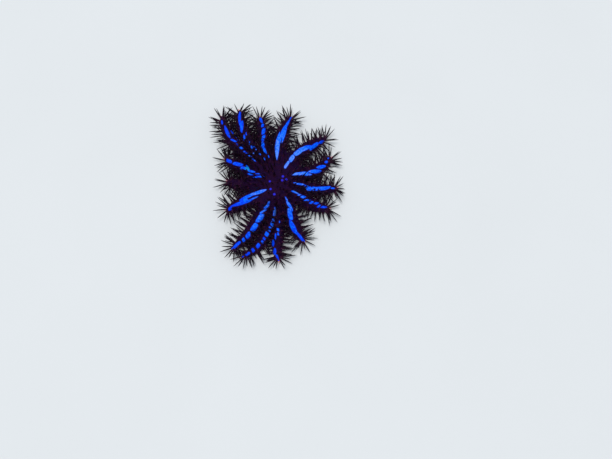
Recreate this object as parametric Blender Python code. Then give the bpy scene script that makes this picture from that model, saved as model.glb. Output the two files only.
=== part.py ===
"""A crown-of-thorns starfish, life size, lying with its fifteen arms spread on a flat floor.

The disc is drawn out along Y. Each arm follows a smooth bearing around the disc's axis, so the line halfway
between two arms is known at every radius, and neighbours that crowd each other flatten against that line.
"""

import math

import bmesh
import bpy
import numpy as np

# Gap that two touching nodes keep, in metres, as all sizes here.
GAP = 0.0003
MERGE_DISTANCE = 0.000002
SHARP_ANGLE = math.radians(50.0)

# Arms, clockwise from the one that points away from the viewer: the bearing in degrees that the arm has at
# the disc's centre and at its tip, the bow in degrees between the two, and the reach of its tip.
ARMS = (
    (90.0, 77.0, -1.0, 0.160),
    (58.0, 42.0, -2.5, 0.153),
    (20.0, 25.0, -7.0, 0.135),
    (-12.5, -6.0, -2.0, 0.134),
    (-36.0, -28.5, -1.5, 0.130),
    (-57.5, -66.0, -8.5, 0.146),
    (-76.5, -88.5, -8.0, 0.174),
    (-93.0, -113.0, 2.5, 0.180),
    (-108.0, -122.0, -1.0, 0.175),
    (-137.0, -148.5, -4.0, 0.123),
    (-167.0, -180.0, 0.0, 0.104),
    (-194.0, -204.5, -4.0, 0.122),
    (-223.0, -231.5, 2.5, 0.196),
    (-241.0, -244.0, 5.5, 0.188),
    (-254.0, -257.0, 1.0, 0.157),
)
ARM_COUNT = len(ARMS)
# A bearing runs on past the tip by this share of the reach, for the neighbours that reach farther.
PAST_TIP = 1.08

# The disc: half its width and half its length in plan, and its height at the centre and at the rim. Between
# two arms the rim dips, from this share of the way out.
DISC_HALF_WIDTH = 0.056
DISC_HALF_LENGTH = 0.072
DISC_TOP = 0.029
RIM_TOP = 0.025
RIM_DIP = 0.007
RIM_DIP_START = 0.375
RIM_UNDERSIDE = 0.0025
BEARING_RADIUS = 0.065

# An arm: half width and height at the disc, what an even taper and the tip leave of them, and the tip's lift.
ARM_HALF_WIDTH = 0.0155
ARM_HEIGHT = 0.0245
WIDTH_TAPER = 0.08
HEIGHT_TAPER = 0.12
TIP_WIDTH_SHARE = 0.33
TIP_HEIGHT_SHARE = 0.38
TIP_ROUNDING = 0.32
TIP_ROUNDING_START = 0.9
TIP_LIFT = 0.005
WEB_BLEND = 0.012
ROUNDING_LENGTH = 0.30
ROOT_LENGTH = 0.25
SIDE_SHARE = 0.36
CROWDING_SOFTNESS = 0.02

# The groove under each arm, and the tube feet in it.
GROOVE_DEPTH = 0.005
GROOVE_SHARE = 0.36
SOLE_SHARE = 0.82
FOOT_PAIRS = 5
FOOT_PLACES = (0.08, 0.92)
FOOT_RADIUS = 0.0011
SUCKER_RADIUS = 0.001375
FOOT_SPREAD = 0.0021
FOOT_SPREAD_TAPER = 0.35
FOOT_SINK = 0.0058
FOOT_SIDES = 4

# The mouth: a round recess under the disc that holds the mouth membrane. Its corners are spread as the arms'
# columns are at this place on the way to the rim. The membrane's underside, from its edge to the opening in
# its middle: share of its radius, and height.
MOUTH_RADIUS = 0.0115
MOUTH_RECESS = 0.0065
MOUTH_SIDES = 20
MOUTH_SPREAD_PLACE = 0.3
MEMBRANE_RADIUS = MOUTH_RADIUS - 2.0 * GAP
MEMBRANE_UNDERSIDE = ((1.0, 0.0042), (0.62, 0.0030), (0.34, 0.0027), (0.26, 0.0048))

# Spines: a stalk as far as the waist, then a long point. Each keeps a clearance to the others, to the floor
# and to the nodes that it doesn't grow from, for which it is turned upwards and shortened by these steps.
SPINE_RADIUS = 0.0014
SPINE_SINK = 0.0028
SPINE_SIDES = 4
SPINE_WAIST = 0.45
SPINE_WAIST_RADIUS = 0.85
SPINE_CLEARANCE = 0.0006
FLOOR_CLEARANCE = 0.0015
UPWARD_TURNS = (0.0, 0.2, 0.4, 0.65, 1.0, 1.5, 2.5)
SHORTER_SHARES = (1.0, 0.85, 0.7, 0.55)
CHECKED_SHARES = (0.25, 0.5, 0.75, 1.0)
NEIGHBOUR_REACH = 0.075
SEGMENT_SAMPLES = 13
STEEPEST_LEAN = 80.0
SEED = 11

# Rows of spines on an arm: place across the arm (0 at the crest, 1 at the side), distance between spines,
# length, lean from upright and lean towards the tip in degrees.
ARM_ROWS = (
    (0.36, 0.0235, 0.030, 18.0, 14.0),
    (0.74, 0.0215, 0.030, 44.0, 20.0),
    (1.00, 0.0175, 0.029, 74.0, 26.0),
)
ROW_SHARE = 0.94
ROW_START = 0.05
ROW_STRETCH = 0.86
ROW_SHIFTS = (0.25, 0.7)
SIDE_SURFACE = 0.9
SIDE_ROOT = 0.985
SIDE_ROOT_HEIGHT = 0.55
SPINE_SHORTENING = 0.12
# How much a spine's place, lean and length vary, each way.
PLACE_SPREAD = 0.05
LEAN_SPREAD = 6.0
SWEEP_SPREAD = 8.0
LENGTH_SPREAD = 0.10

# The fan of spines at an arm's tip: direction of each from the arm's line and its rise, in degrees.
TIP_FAN = ((-58.0, 24.0), (-20.0, 38.0), (20.0, 38.0), (58.0, 24.0))
TIP_SPINE_LENGTH = 0.029
TIP_LENGTH_SPREAD = 0.12
TIP_FAN_PLACE = 1.965
TIP_FAN_OFFSET = 0.0022

# Rings of spines on the disc: place between the centre and the rim, and how many.
DISC_RINGS = ((0.20, 5), (0.46, 10), (0.72, 14))
DISC_SPINE_LENGTH = 0.028
DISC_SPINE_SPREAD = 0.12
# Lean of a disc spine away from the centre: at the centre, and what the rim adds.
DISC_LEAN = 0.12
RIM_LEAN = 0.35

# Sieve plates, the low buttons between the centre and the rim of the disc.
SIEVE_COUNT = 6
SIEVE_RING = 0.33
SIEVE_RADIUS = 0.0021
SIEVE_RISE = 0.0009
SIEVE_SINK = 0.002
SIEVE_TOP_SHARE = 0.7
SIEVE_SIDES = 8

# Eyespot, the short feeler at the end of each arm: share of its length, of its radius, and rise in radii.
EYE_LENGTH = 0.0055
EYE_RADIUS = 0.0019
EYE_SECTIONS = ((0.0, 0.9, 0.0), (0.6, 0.9, 0.3), (1.0, 0.4, 0.6))
EYE_SIDES = 6

# Colours.
SKIN_COLOUR = (0.012, 0.006, 0.022)
SKIN_ROUGHNESS = 0.55
MEMBRANE_COLOUR = (0.30, 0.22, 0.20)
MEMBRANE_ROUGHNESS = 0.45
FEELER_COLOUR = (0.45, 0.13, 0.16)
FEELER_ROUGHNESS = 0.4

# Faces along and across the pieces.
DISC_COLUMNS = (-1.0, -0.5, 0.0, 0.5)
DISC_RINGS_TOP = (0.25, 0.5, 0.76, 1.0)
DISC_RINGS_UNDER = (0.6, 1.0)
ARM_STATIONS = (0.0, 0.07, 0.18, 0.33, 0.50, 0.66, 0.81, 0.93, 1.0)
ARM_TOP = (-1.0, -0.78, -0.4, 0.0, 0.4, 0.78, 1.0)


def smooth_step(x):
    """Rises from 0 to 1 with level ends."""
    x = np.clip(x, 0.0, 1.0)
    return x * x * (3.0 - 2.0 * x)


def smaller(a, b, softness):
    """The smaller of two values, with the corner between them rounded."""
    return 0.5 * (a + b - np.sqrt((a - b) ** 2 + softness**2))


def bearing(arm, radius):
    """The centreline's bearing: the tip's comes in with the square of the radius, plus a bow."""
    base, tip, bow, reach = ARMS[arm % ARM_COUNT]
    turns = 360.0 * (arm // ARM_COUNT)
    t = np.minimum(radius / reach, PAST_TIP)
    return np.radians(base - turns + (tip - base) * t**2 + 4.0 * bow * t * (1.0 - t))


def half_spacing(arm, radius, side):
    """Half the angle between an arm's centreline and its neighbour's, at a radius, on the side +1 or -1."""
    own, other = bearing(arm, radius), bearing(arm - side, radius)
    return 0.5 * np.abs(other - own)


def rim_radius(direction):
    """Radius of the disc's elliptical rim in a direction."""
    across = DISC_HALF_LENGTH * np.cos(direction)
    along = DISC_HALF_WIDTH * np.sin(direction)
    return DISC_HALF_WIDTH * DISC_HALF_LENGTH / np.hypot(across, along)


def ring_radius(arm, u):
    """Radius of the rim at the place u across an arm's sector. Two neighbours agree on it at u = 1 and -1."""
    side = 1 if u >= 0 else -1
    spread = side * half_spacing(arm, BEARING_RADIUS, side)
    return rim_radius(bearing(arm, BEARING_RADIUS) + abs(u) * spread)


def slant(arm, radius):
    """Sine of the angle between the arm's centreline and the radius."""
    step = 0.001
    turn = radius * (bearing(arm, radius + step) - bearing(arm, radius - step)) / (2.0 * step)
    return turn / math.hypot(1.0, turn)


def tip_rounding(t):
    """What is left of the width and height over the last stretch of an arm, where the tip is rounded off."""
    return 1.0 - TIP_ROUNDING * float(smooth_step((t - TIP_ROUNDING_START) / (1.0 - TIP_ROUNDING_START)))


def natural_half_width(t):
    """Half width of an uncrowded arm, t being 0 at the rim and 1 at the tip."""
    tapered = 1.0 - WIDTH_TAPER * t - (1.0 - WIDTH_TAPER - TIP_WIDTH_SHARE) * t**3
    return ARM_HALF_WIDTH * tapered * tip_rounding(t)


def left_of_root(t):
    """Runs from 1 at the rim to 0 where an arm has its own shape."""
    return 1.0 - float(smooth_step(t / ROOT_LENGTH))


def arm_length(arm):
    return ARMS[arm][3] - ring_radius(arm, 0.0)


def plan_point(arm, u, f, inset=0.0):
    """Plan position at u across and f along: f runs from 0 at the centre to 1 at the rim and 2 at the tip.

    The sector fills the disc. Past the rim the arm narrows to its natural width, or to the line between arms.
    """
    side = 1 if u >= 0 else -1
    ring = ring_radius(arm, u)
    t = max(f - 1.0, 0.0)
    width = natural_half_width(t)
    tilt = slant(arm, ring + t * arm_length(arm))
    radius = min(f, 1.0) * ring + t * arm_length(arm) - u * width * tilt * (1.0 - left_of_root(t))
    radius = max(radius, 1e-5)
    limit = half_spacing(arm, radius, side)
    if f > 1.0 or inset:
        limit = limit - 0.5 * GAP / radius
    free = smaller(width / math.sqrt(1.0 - tilt**2) / radius, limit, CROWDING_SOFTNESS)
    blend = float(smooth_step(t * arm_length(arm) / WEB_BLEND))
    spread = limit + (free - limit) * blend
    direction = bearing(arm, radius) + u * spread
    radius += inset
    return np.array([radius * math.cos(direction), radius * math.sin(direction)])


def body_heights(u, f):
    """Heights of the underside's edge, the side's edge and the upper surface at a place on the body."""
    t = max(f - 1.0, 0.0)
    lift = TIP_LIFT * t**4
    if f <= 1.0:
        crest = DISC_TOP - (DISC_TOP - RIM_TOP) * f**2
        side_top = crest - RIM_DIP * float(smooth_step((f - RIM_DIP_START) / (1.0 - RIM_DIP_START)))
        return RIM_UNDERSIDE * f**4, side_top, crest + (side_top - crest) * math.sin(0.5 * math.pi * u) ** 2
    tapered = 1.0 - HEIGHT_TAPER * t - (1.0 - HEIGHT_TAPER - TIP_HEIGHT_SHARE) * t**3
    height = ARM_HEIGHT * tapered * tip_rounding(t) + (RIM_TOP - ARM_HEIGHT) * left_of_root(t)
    crest = lift + height
    rounded = float(smooth_step(t / ROUNDING_LENGTH))
    side_top = (crest - RIM_DIP) * (1.0 - rounded) + (lift + SIDE_SHARE * height) * rounded
    wave = math.cos(0.5 * math.pi * u) ** 2
    dome = math.sqrt(max(1.0 - u * u, 0.0))
    shape = wave + (dome - wave) * rounded
    return lift + RIM_UNDERSIDE, side_top, side_top + (crest - side_top) * shape


def top_point(arm, u, f, inset=0.0):
    return np.array([*plan_point(arm, u, f, inset), body_heights(u, f)[2]])


def surface_frame(arm, u, f):
    """On the upper surface: point, outward normal, and directions towards the tip and the nearer side."""
    step = 0.01
    here = top_point(arm, u, f)
    along = top_point(arm, u, f + step) - top_point(arm, u, f - step)
    across = top_point(arm, min(u + step, 1.0), f) - top_point(arm, max(u - step, -1.0), f)
    along /= np.linalg.norm(along)
    normal = np.cross(along, across)
    normal /= np.linalg.norm(normal)
    if normal[2] < 0:
        normal = -normal
    sideways = np.cross(normal, along) * (1 if u >= 0 else -1)
    if np.dot(sideways, across) * (1 if u >= 0 else -1) < 0:
        sideways = -sideways
    return here, normal, along, sideways


def arm_section(arm, f):
    """One closed loop round an arm: over the top from right to left, and back along the grooved underside."""
    low, _, _ = body_heights(1.0, f)
    lift = low - RIM_UNDERSIDE
    inset = GAP if f <= 1.0 else 0.0
    loop = [top_point(arm, u, f, inset) for u in ARM_TOP]
    under = (
        (1.0, low),
        (SOLE_SHARE, lift),
        (GROOVE_SHARE, lift),
        (0.0, lift + GROOVE_DEPTH * (1.0 - 0.45 * (f - 1.0))),
        (-GROOVE_SHARE, lift),
        (-SOLE_SHARE, lift),
        (-1.0, low),
    )
    loop += [np.array([*plan_point(arm, u, f, inset), z]) for u, z in under]
    return loop


def mesh_object(name, points, faces, collection=None):
    """An object whose faces all point outwards."""
    mesh = bpy.data.meshes.new(name)
    mesh.from_pydata([tuple(p) for p in points], [], faces)
    shape = bmesh.new()
    shape.from_mesh(mesh)
    bmesh.ops.recalc_face_normals(shape, faces=shape.faces)
    if shape.calc_volume(signed=True) < 0:
        bmesh.ops.reverse_faces(shape, faces=shape.faces)
    bmesh.ops.triangulate(shape, faces=shape.faces)
    shape.to_mesh(mesh)
    shape.free()
    made = bpy.data.objects.new(name, mesh)
    (collection or bpy.context.scene.collection).objects.link(made)
    return made


def on_circle(radius, turn, height):
    return np.array([radius * math.cos(turn), radius * math.sin(turn), height])


def bands(first, second):
    """Quads between two closed loops of as many points."""
    count = len(first)
    return [(first[k], first[(k + 1) % count], second[(k + 1) % count], second[k]) for k in range(count)]


def arm_body(arm, name):
    """A tube of cross-sections from the rim to the tip. Strips from top to underside close each end."""
    loops, points = [], []
    for t in ARM_STATIONS:
        section = arm_section(arm, 1.0 + t)
        loops.append(range(len(points), len(points) + len(section)))
        points += section
    faces = [quad for k in range(len(loops) - 1) for quad in bands(loops[k], loops[k + 1])]
    for loop in (loops[0], loops[-1]):
        facing = loop[::-1]
        faces += [(loop[k], loop[k + 1], facing[k + 1], facing[k]) for k in range(len(loop) // 2 - 1)]
    return mesh_object(name, points, faces)


def disc_columns():
    return [(arm, u) for arm in range(ARM_COUNT) for u in reversed(DISC_COLUMNS)]


def disc_body(name):
    """The disc: a domed top, a rim wall, and an underside with a groove to each arm and the mouth recess."""
    columns = disc_columns()
    points = [np.array([0.0, 0.0, DISC_TOP])]
    loops = []

    def add_loop(ring):
        loops.append(range(len(points), len(points) + len(ring)))
        points.extend(ring)

    for f in DISC_RINGS_TOP:
        add_loop([top_point(arm, u, f) for arm, u in columns])
    for f in reversed(DISC_RINGS_UNDER):
        add_loop([np.array([*plan_point(arm, u, f), under_height(u, f)]) for arm, u in columns])
    directions = [math.atan2(*reversed(plan_point(arm, u, MOUTH_SPREAD_PLACE))) for arm, u in columns]
    for height in (0.0, MOUTH_RECESS):
        add_loop([on_circle(MOUTH_RADIUS, turn, height) for turn in directions])
    count = len(columns)
    faces = [(0, loops[0][(k + 1) % count], loops[0][k]) for k in range(count)]
    faces += [quad for k in range(len(loops) - 1) for quad in bands(loops[k], loops[k + 1])]
    faces.append(tuple(loops[-1]))
    return mesh_object(name, points, faces)


def under_height(u, f):
    """Height of the disc's underside: flat, grooved along each arm and raised at the rim between arms."""
    if u == 0.0:
        return GROOVE_DEPTH
    return RIM_UNDERSIDE * f**4 if abs(u) == 1.0 else 0.0


def unit(vector):
    return vector / np.linalg.norm(vector)


def spike(root, direction, length, collection):
    """A tapered spine: a stalk of even width, then a long point. Its root is sunk in the body."""
    helper = np.array([0.0, 0.0, 1.0]) if abs(direction[2]) < 0.9 else np.array([1.0, 0.0, 0.0])
    first = unit(np.cross(direction, helper))
    second = np.cross(direction, first)
    stalk = ((-SPINE_SINK, SPINE_RADIUS), (SPINE_WAIST * length, SPINE_WAIST_RADIUS * SPINE_RADIUS))
    points = []
    for place, radius in stalk:
        for k in range(SPINE_SIDES):
            across, beside, _ = on_circle(radius, 2.0 * math.pi * (k + 0.5) / SPINE_SIDES, 0.0)
            points.append(root + place * direction + across * first + beside * second)
    points.append(root + length * direction)
    low, high = range(SPINE_SIDES), range(SPINE_SIDES, 2 * SPINE_SIDES)
    faces = [tuple(low), *bands(low, high)]
    faces += [(high[k], high[(k + 1) % SPINE_SIDES], 2 * SPINE_SIDES) for k in range(SPINE_SIDES)]
    mesh_object("spine", points, faces, collection)


def tube_foot(place, lift, collection):
    """A short stalk that ends in a flat sucker on the floor."""
    points = []
    for height, radius in ((lift, SUCKER_RADIUS), (lift + FOOT_SINK, FOOT_RADIUS)):
        for k in range(FOOT_SIDES):
            points.append([*place, height] + on_circle(radius, 2.0 * math.pi * k / FOOT_SIDES, 0.0))
    low, high = range(FOOT_SIDES), range(FOOT_SIDES, 2 * FOOT_SIDES)
    mesh_object("foot", points, [tuple(low), tuple(high), *bands(low, high)], collection)


def segment_distance(a, b, c, d):
    """Smallest distance between the segments a-b and c-d, sampled along both."""
    shares = np.linspace(0.0, 1.0, SEGMENT_SAMPLES)[:, None]
    first = a + shares * (b - a)
    second = c + shares * (d - c)
    return np.linalg.norm(first[:, None, :] - second[None, :, :], axis=2).min()


def disc_height(point, margin):
    """Height of the disc's upper surface under a point, or nothing where the point is beside the disc."""
    radius, direction = math.hypot(point[0], point[1]), math.atan2(point[1], point[0])
    ring = rim_radius(direction)
    return body_heights(0.0, min(radius / ring, 1.0))[2] if radius < ring + margin else None


def arm_height(arm, point, margin):
    """Height of an arm's crest or flank under a point, or nothing where the point is beside the arm."""
    radius, direction = math.hypot(point[0], point[1]), math.atan2(point[1], point[0])
    t = (radius - ring_radius(arm, 0.0)) / arm_length(arm)
    if not 0.0 < t < 1.0 + margin / arm_length(arm):
        return None
    off = (direction - bearing(arm, radius) + math.pi) % (2.0 * math.pi) - math.pi
    side = 1 if off >= 0 else -1
    edge = plan_point(arm, side, 1.0 + min(t, 1.0))
    edge_radius = math.hypot(edge[0], edge[1])
    reach = abs(math.atan2(edge[1], edge[0]) - bearing(arm, edge_radius))
    reach = min(reach % (2.0 * math.pi), -reach % (2.0 * math.pi)) + margin / radius
    return body_heights(min(abs(off) / reach, 1.0), 1.0 + min(t, 1.0))[2] if abs(off) < reach else None


def inside_body(point, owner, margin):
    """Whether a point is in, or closer than the margin to, a node other than the owner. The disc is -1."""
    if owner >= 0:
        height = disc_height(point, margin)
        if height is not None and point[2] < height + margin:
            return True
    for arm in range(ARM_COUNT):
        height = arm_height(arm, point, margin) if arm != owner else None
        if height is not None and point[2] < height + margin:
            return True
    return False


class SpineField:
    """Places spines one by one, each clear of the other nodes and of the spines that stand there already."""

    def __init__(self):
        self.placed = []

    def clear(self, owner, root, tip):
        """Whether a spine is clear of the floor, of the other nodes and of the spines placed before it."""
        if tip[2] <= FLOOR_CLEARANCE:
            return False
        for share in CHECKED_SHARES:
            if inside_body(root + share * (tip - root), owner, SPINE_RADIUS + SPINE_CLEARANCE):
                return False
        room = 2.0 * SPINE_RADIUS + SPINE_CLEARANCE
        for other_root, other_tip in self.placed:
            near = np.linalg.norm(other_root - root) < NEIGHBOUR_REACH
            if near and segment_distance(root, tip, other_root, other_tip) < room:
                return False
        return True

    def add(self, owner, root, wanted, upwards, length):
        """Tries the wanted direction, then directions ever nearer to upwards, then shorter spines.

        Returns the direction and length that are clear, or nothing.
        """
        for share in SHORTER_SHARES:
            for turn in UPWARD_TURNS:
                direction = unit(wanted + turn * upwards)
                tip = root + share * length * direction
                if self.clear(owner, root, tip):
                    self.placed.append((root, tip))
                    return direction, share * length
        return None


def leaning(normal, along, sideways, lean, forward):
    """Direction that leans from the normal towards the side and towards the tip, by angles in degrees."""
    lean = math.radians(min(lean, STEEPEST_LEAN))
    return unit(normal + math.tan(lean) * sideways + math.tan(math.radians(forward)) * along)


def row_spine(arm, row, side, t, jitter):
    """Root, wanted direction and length of one spine in a row along the back or along the side of an arm."""
    place, _, size, lean, forward = row
    up = np.array([0.0, 0.0, 1.0])
    if place < 1.0:
        u = side * place * (1.0 + PLACE_SPREAD * jitter[0])
        root, _, along, sideways = surface_frame(arm, u, 1.0 + t)
        wanted = leaning(up, along, sideways, lean + LEAN_SPREAD * jitter[1], forward)
    else:
        _, _, along, sideways = surface_frame(arm, SIDE_SURFACE * side, 1.0 + t)
        low, side_top, _ = body_heights(1.0, 1.0 + t)
        height = (1.0 - SIDE_ROOT_HEIGHT) * low + SIDE_ROOT_HEIGHT * side_top
        root = np.array([*plan_point(arm, SIDE_ROOT * side, 1.0 + t), height])
        level = unit(sideways * [1.0, 1.0, 0.0])
        wanted = leaning(up, unit(along * [1.0, 1.0, 0.0]), level, lean, forward + SWEEP_SPREAD * jitter[1])
    return root, wanted, size * (1.0 - SPINE_SHORTENING * t) * (1.0 + LENGTH_SPREAD * jitter[2])


def tip_fan(arm, chance):
    """Roots, wanted directions and lengths of the spines round an arm's tip."""
    middle, _, along, _ = surface_frame(arm, 0.0, TIP_FAN_PLACE)
    up = np.array([0.0, 0.0, 1.0])
    ahead = unit(along * [1.0, 1.0, 0.0])
    across = np.array([-ahead[1], ahead[0], 0.0])
    for angle, rise in TIP_FAN:
        turn, rise = math.radians(angle), math.radians(rise)
        level = math.cos(turn) * ahead + math.sin(turn) * across
        root = middle + TIP_FAN_OFFSET * (math.sin(turn) * across - up)
        length = TIP_SPINE_LENGTH * (1.0 + TIP_LENGTH_SPREAD * chance.uniform(-1.0, 1.0))
        yield root, unit(math.cos(rise) * level + math.sin(rise) * up), length


def arm_spines(arm, field, chance):
    """Roots, directions and lengths of an arm's spines: rows on its back and sides, and a fan at its tip."""
    wanted_spines = []
    for number, row in enumerate(ARM_ROWS):
        count = max(3, round(ROW_SHARE * arm_length(arm) / row[1]))
        for side in (1, -1):
            shift = ROW_SHIFTS[0] if (number + (side > 0)) % 2 else ROW_SHIFTS[1]
            for k in range(count):
                t = ROW_START + ROW_STRETCH * (k + shift) / count
                wanted_spines.append(row_spine(arm, row, side, t, chance.uniform(-1.0, 1.0, 3)))
    wanted_spines += tip_fan(arm, chance)
    return placed_spines(arm, field, wanted_spines)


def placed_spines(owner, field, wanted_spines):
    """The spines that find a clear place, with their final directions and lengths."""
    up = np.array([0.0, 0.0, 1.0])
    found = []
    for root, wanted, length in wanted_spines:
        placed = field.add(owner, root, wanted, up, length)
        if placed:
            found.append((root, *placed))
    return found


def disc_spines(field, chance):
    """Spines in rings on the disc, leaning out from its centre."""
    wanted_spines = []
    for ring, (f, count) in enumerate(DISC_RINGS):
        for k in range(count):
            place = ARM_COUNT * (k + 0.5 * (ring % 2) + DISC_SPINE_SPREAD * chance.uniform(-1.0, 1.0)) / count
            arm, u = int(place) % ARM_COUNT, 2.0 * (place - int(place)) - 1.0
            root, normal, along, _ = surface_frame(arm, u, f)
            length = DISC_SPINE_LENGTH * (1.0 + LENGTH_SPREAD * chance.uniform(-1.0, 1.0))
            wanted_spines.append((root, unit(normal + (DISC_LEAN + RIM_LEAN * f) * along), length))
    return placed_spines(-1, field, wanted_spines)


def arm_feet(arm):
    """Places of the tube feet, in pairs along the groove under an arm."""
    found = []
    for t in np.linspace(*FOOT_PLACES, FOOT_PAIRS):
        middle = plan_point(arm, 0.0, 1.0 + t)
        across = unit(plan_point(arm, 1.0, 1.0 + t) - middle)
        spread = FOOT_SPREAD * (1.0 - FOOT_SPREAD_TAPER * t)
        found += [(middle + side * spread * across, TIP_LIFT * t**4) for side in (1, -1)]
    return found


def sieve_plates(collection):
    """Low round buttons on the disc, between its centre and its rim."""
    for k in range(SIEVE_COUNT):
        arm = round(ARM_COUNT * (k + 0.4) / SIEVE_COUNT) % ARM_COUNT
        centre = top_point(arm, 1.0, SIEVE_RING)
        profile = (
            (-SIEVE_SINK, SIEVE_RADIUS),
            (0.5 * SIEVE_RISE, SIEVE_RADIUS),
            (SIEVE_RISE, SIEVE_TOP_SHARE * SIEVE_RADIUS),
        )
        points, loops = [], []
        for height, radius in profile:
            loops.append(range(len(points), len(points) + SIEVE_SIDES))
            for side in range(SIEVE_SIDES):
                points.append(centre + on_circle(radius, 2.0 * math.pi * side / SIEVE_SIDES, height))
        faces = [tuple(loops[0]), tuple(loops[2]), *bands(loops[0], loops[1]), *bands(loops[1], loops[2])]
        mesh_object("sieve", points, faces, collection)


def fuse(body, collection):
    """Joins everything in the collection to the body, and keeps the largest closed surface."""
    union = body.modifiers.new("union", "BOOLEAN")
    union.operation = "UNION"
    union.solver = "MANIFOLD"
    union.operand_type = "COLLECTION"
    union.collection = collection
    graph = bpy.context.evaluated_depsgraph_get()
    mesh = bpy.data.meshes.new_from_object(body.evaluated_get(graph))
    body.modifiers.clear()
    body.data = mesh
    for piece in list(collection.objects):
        bpy.data.objects.remove(piece)
    bpy.data.collections.remove(collection)
    keep_largest(body.data)


def keep_largest(mesh):
    """Drops every closed surface of a mesh but the one with the largest area."""
    shape = bmesh.new()
    shape.from_mesh(mesh)
    bmesh.ops.remove_doubles(shape, verts=shape.verts, dist=MERGE_DISTANCE)
    left = set(shape.faces)
    groups = []
    while left:
        start = left.pop()
        group, edge_faces = {start}, [start]
        while edge_faces:
            face = edge_faces.pop()
            for edge in face.edges:
                for other in edge.link_faces:
                    if other in left:
                        left.remove(other)
                        group.add(other)
                        edge_faces.append(other)
        groups.append(group)
    largest = max(groups, key=lambda group: sum(face.calc_area() for face in group))
    spare = [face for group in groups if group is not largest for face in group]
    bmesh.ops.delete(shape, geom=spare, context="FACES")
    bmesh.ops.triangulate(shape, faces=shape.faces)
    shape.to_mesh(mesh)
    shape.free()


def finish(name, colour, roughness):
    material = bpy.data.materials.new(name)
    material.use_nodes = True
    shader = material.node_tree.nodes["Principled BSDF"]
    shader.inputs["Base Color"].default_value = (*colour, 1.0)
    shader.inputs["Roughness"].default_value = roughness
    shader.inputs["Metallic"].default_value = 0.0
    return material


def paint(part, material):
    part.data.materials.clear()
    part.data.materials.append(material)


def new_pieces():
    """An empty collection for what will be fused to a body."""
    pieces = bpy.data.collections.new("pieces")
    bpy.context.scene.collection.children.link(pieces)
    return pieces


def make_arm(arm, field, chance, skin):
    """One arm with its spines and tube feet."""
    body, pieces = arm_body(arm, f"arm_{arm + 1:02d}"), new_pieces()
    for root, direction, length in arm_spines(arm, field, chance):
        spike(root, direction, length, pieces)
    for place, lift in arm_feet(arm):
        tube_foot(place, lift, pieces)
    fuse(body, pieces)
    paint(body, skin)


def make_disc(field, chance, skin):
    """The disc with its spines and sieve plates."""
    body, pieces = disc_body("disc"), new_pieces()
    for root, direction, length in disc_spines(field, chance):
        spike(root, direction, length, pieces)
    sieve_plates(pieces)
    fuse(body, pieces)
    paint(body, skin)


def make_mouth(membrane):
    """The mouth membrane: a turned plug in the disc's recess, dished towards the mouth opening."""
    points, loops = [], []
    for share, height in ((1.0, MOUTH_RECESS - GAP), *MEMBRANE_UNDERSIDE):
        radius = share * MEMBRANE_RADIUS
        loops.append(range(len(points), len(points) + MOUTH_SIDES))
        for k in range(MOUTH_SIDES):
            points.append(on_circle(radius, 2.0 * math.pi * k / MOUTH_SIDES, height))
    faces = [tuple(loops[0]), tuple(loops[-1])]
    faces += [quad for k in range(len(loops) - 1) for quad in bands(loops[k], loops[k + 1])]
    paint(mesh_object("mouth", points, faces), membrane)


def make_eyespot(arm, flesh):
    """A blunt feeler that meets the middle of the arm's end and points on and up."""
    end = np.array(arm_section(arm, 2.0))
    top, under = end[: len(ARM_TOP)], end[len(ARM_TOP) :]
    across = unit(top[-1] - top[0])
    ahead = unit(np.cross(across, [0.0, 0.0, 1.0]))
    middle = 0.5 * (top.mean(axis=0) + under.mean(axis=0))
    if np.dot(ahead[:2], middle[:2]) < 0:
        ahead = -ahead
    front = float(np.dot(end - middle, ahead).max()) + GAP
    up = np.array([0.0, 0.0, 1.0])
    points, loops = [], []
    for place, radius, rise in EYE_SECTIONS:
        loops.append(range(len(points), len(points) + EYE_SIDES))
        centre = middle + (front + place * EYE_LENGTH) * ahead + rise * EYE_RADIUS * up
        for k in range(EYE_SIDES):
            level, upright, _ = on_circle(radius * EYE_RADIUS, 2.0 * math.pi * k / EYE_SIDES, 0.0)
            points.append(centre + level * across + upright * up)
    faces = [tuple(loops[0]), tuple(loops[-1]), *bands(loops[0], loops[1]), *bands(loops[1], loops[2])]
    paint(mesh_object(f"eyespot_{arm + 1:02d}", points, faces), flesh)


def centre_on_box():
    """Moves every node so that the middle of the whole box's underside is the origin."""
    parts = list(bpy.context.scene.collection.objects)
    corners = np.array([vertex.co for part in parts for vertex in part.data.vertices])
    middle = 0.5 * (corners.min(axis=0) + corners.max(axis=0))
    for part in parts:
        for vertex in part.data.vertices:
            vertex.co.x -= middle[0]
            vertex.co.y -= middle[1]
        part.data.set_sharp_from_angle(angle=SHARP_ANGLE)
        part.data.update()


def main():
    for startup in list(bpy.data.objects):
        bpy.data.objects.remove(startup)
    skin = finish("dark purple skin", SKIN_COLOUR, SKIN_ROUGHNESS)
    membrane = finish("pale mouth membrane", MEMBRANE_COLOUR, MEMBRANE_ROUGHNESS)
    flesh = finish("pink feeler", FEELER_COLOUR, FEELER_ROUGHNESS)
    field = SpineField()
    chance = np.random.RandomState(SEED)
    make_disc(field, chance, skin)
    for arm in range(ARM_COUNT):
        make_arm(arm, field, chance, skin)
        make_eyespot(arm, flesh)
    make_mouth(membrane)
    centre_on_box()


main()
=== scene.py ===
"""The looks of a life-size crown-of-thorns starfish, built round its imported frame, on a plain pale floor.

One skin stands for the disc and the fifteen arms and carries their blue bands. Spines, papulae, sieve plates,
feelers, the mouth membrane, tube feet and pegs are pieces of their own. Lengths are in metres, but for the
markings of the skin, which are in millimetres, and angles are in degrees where they are listed.
"""

import math

import bmesh
import bpy
import numpy as np
from mathutils import Matrix, Vector


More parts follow.
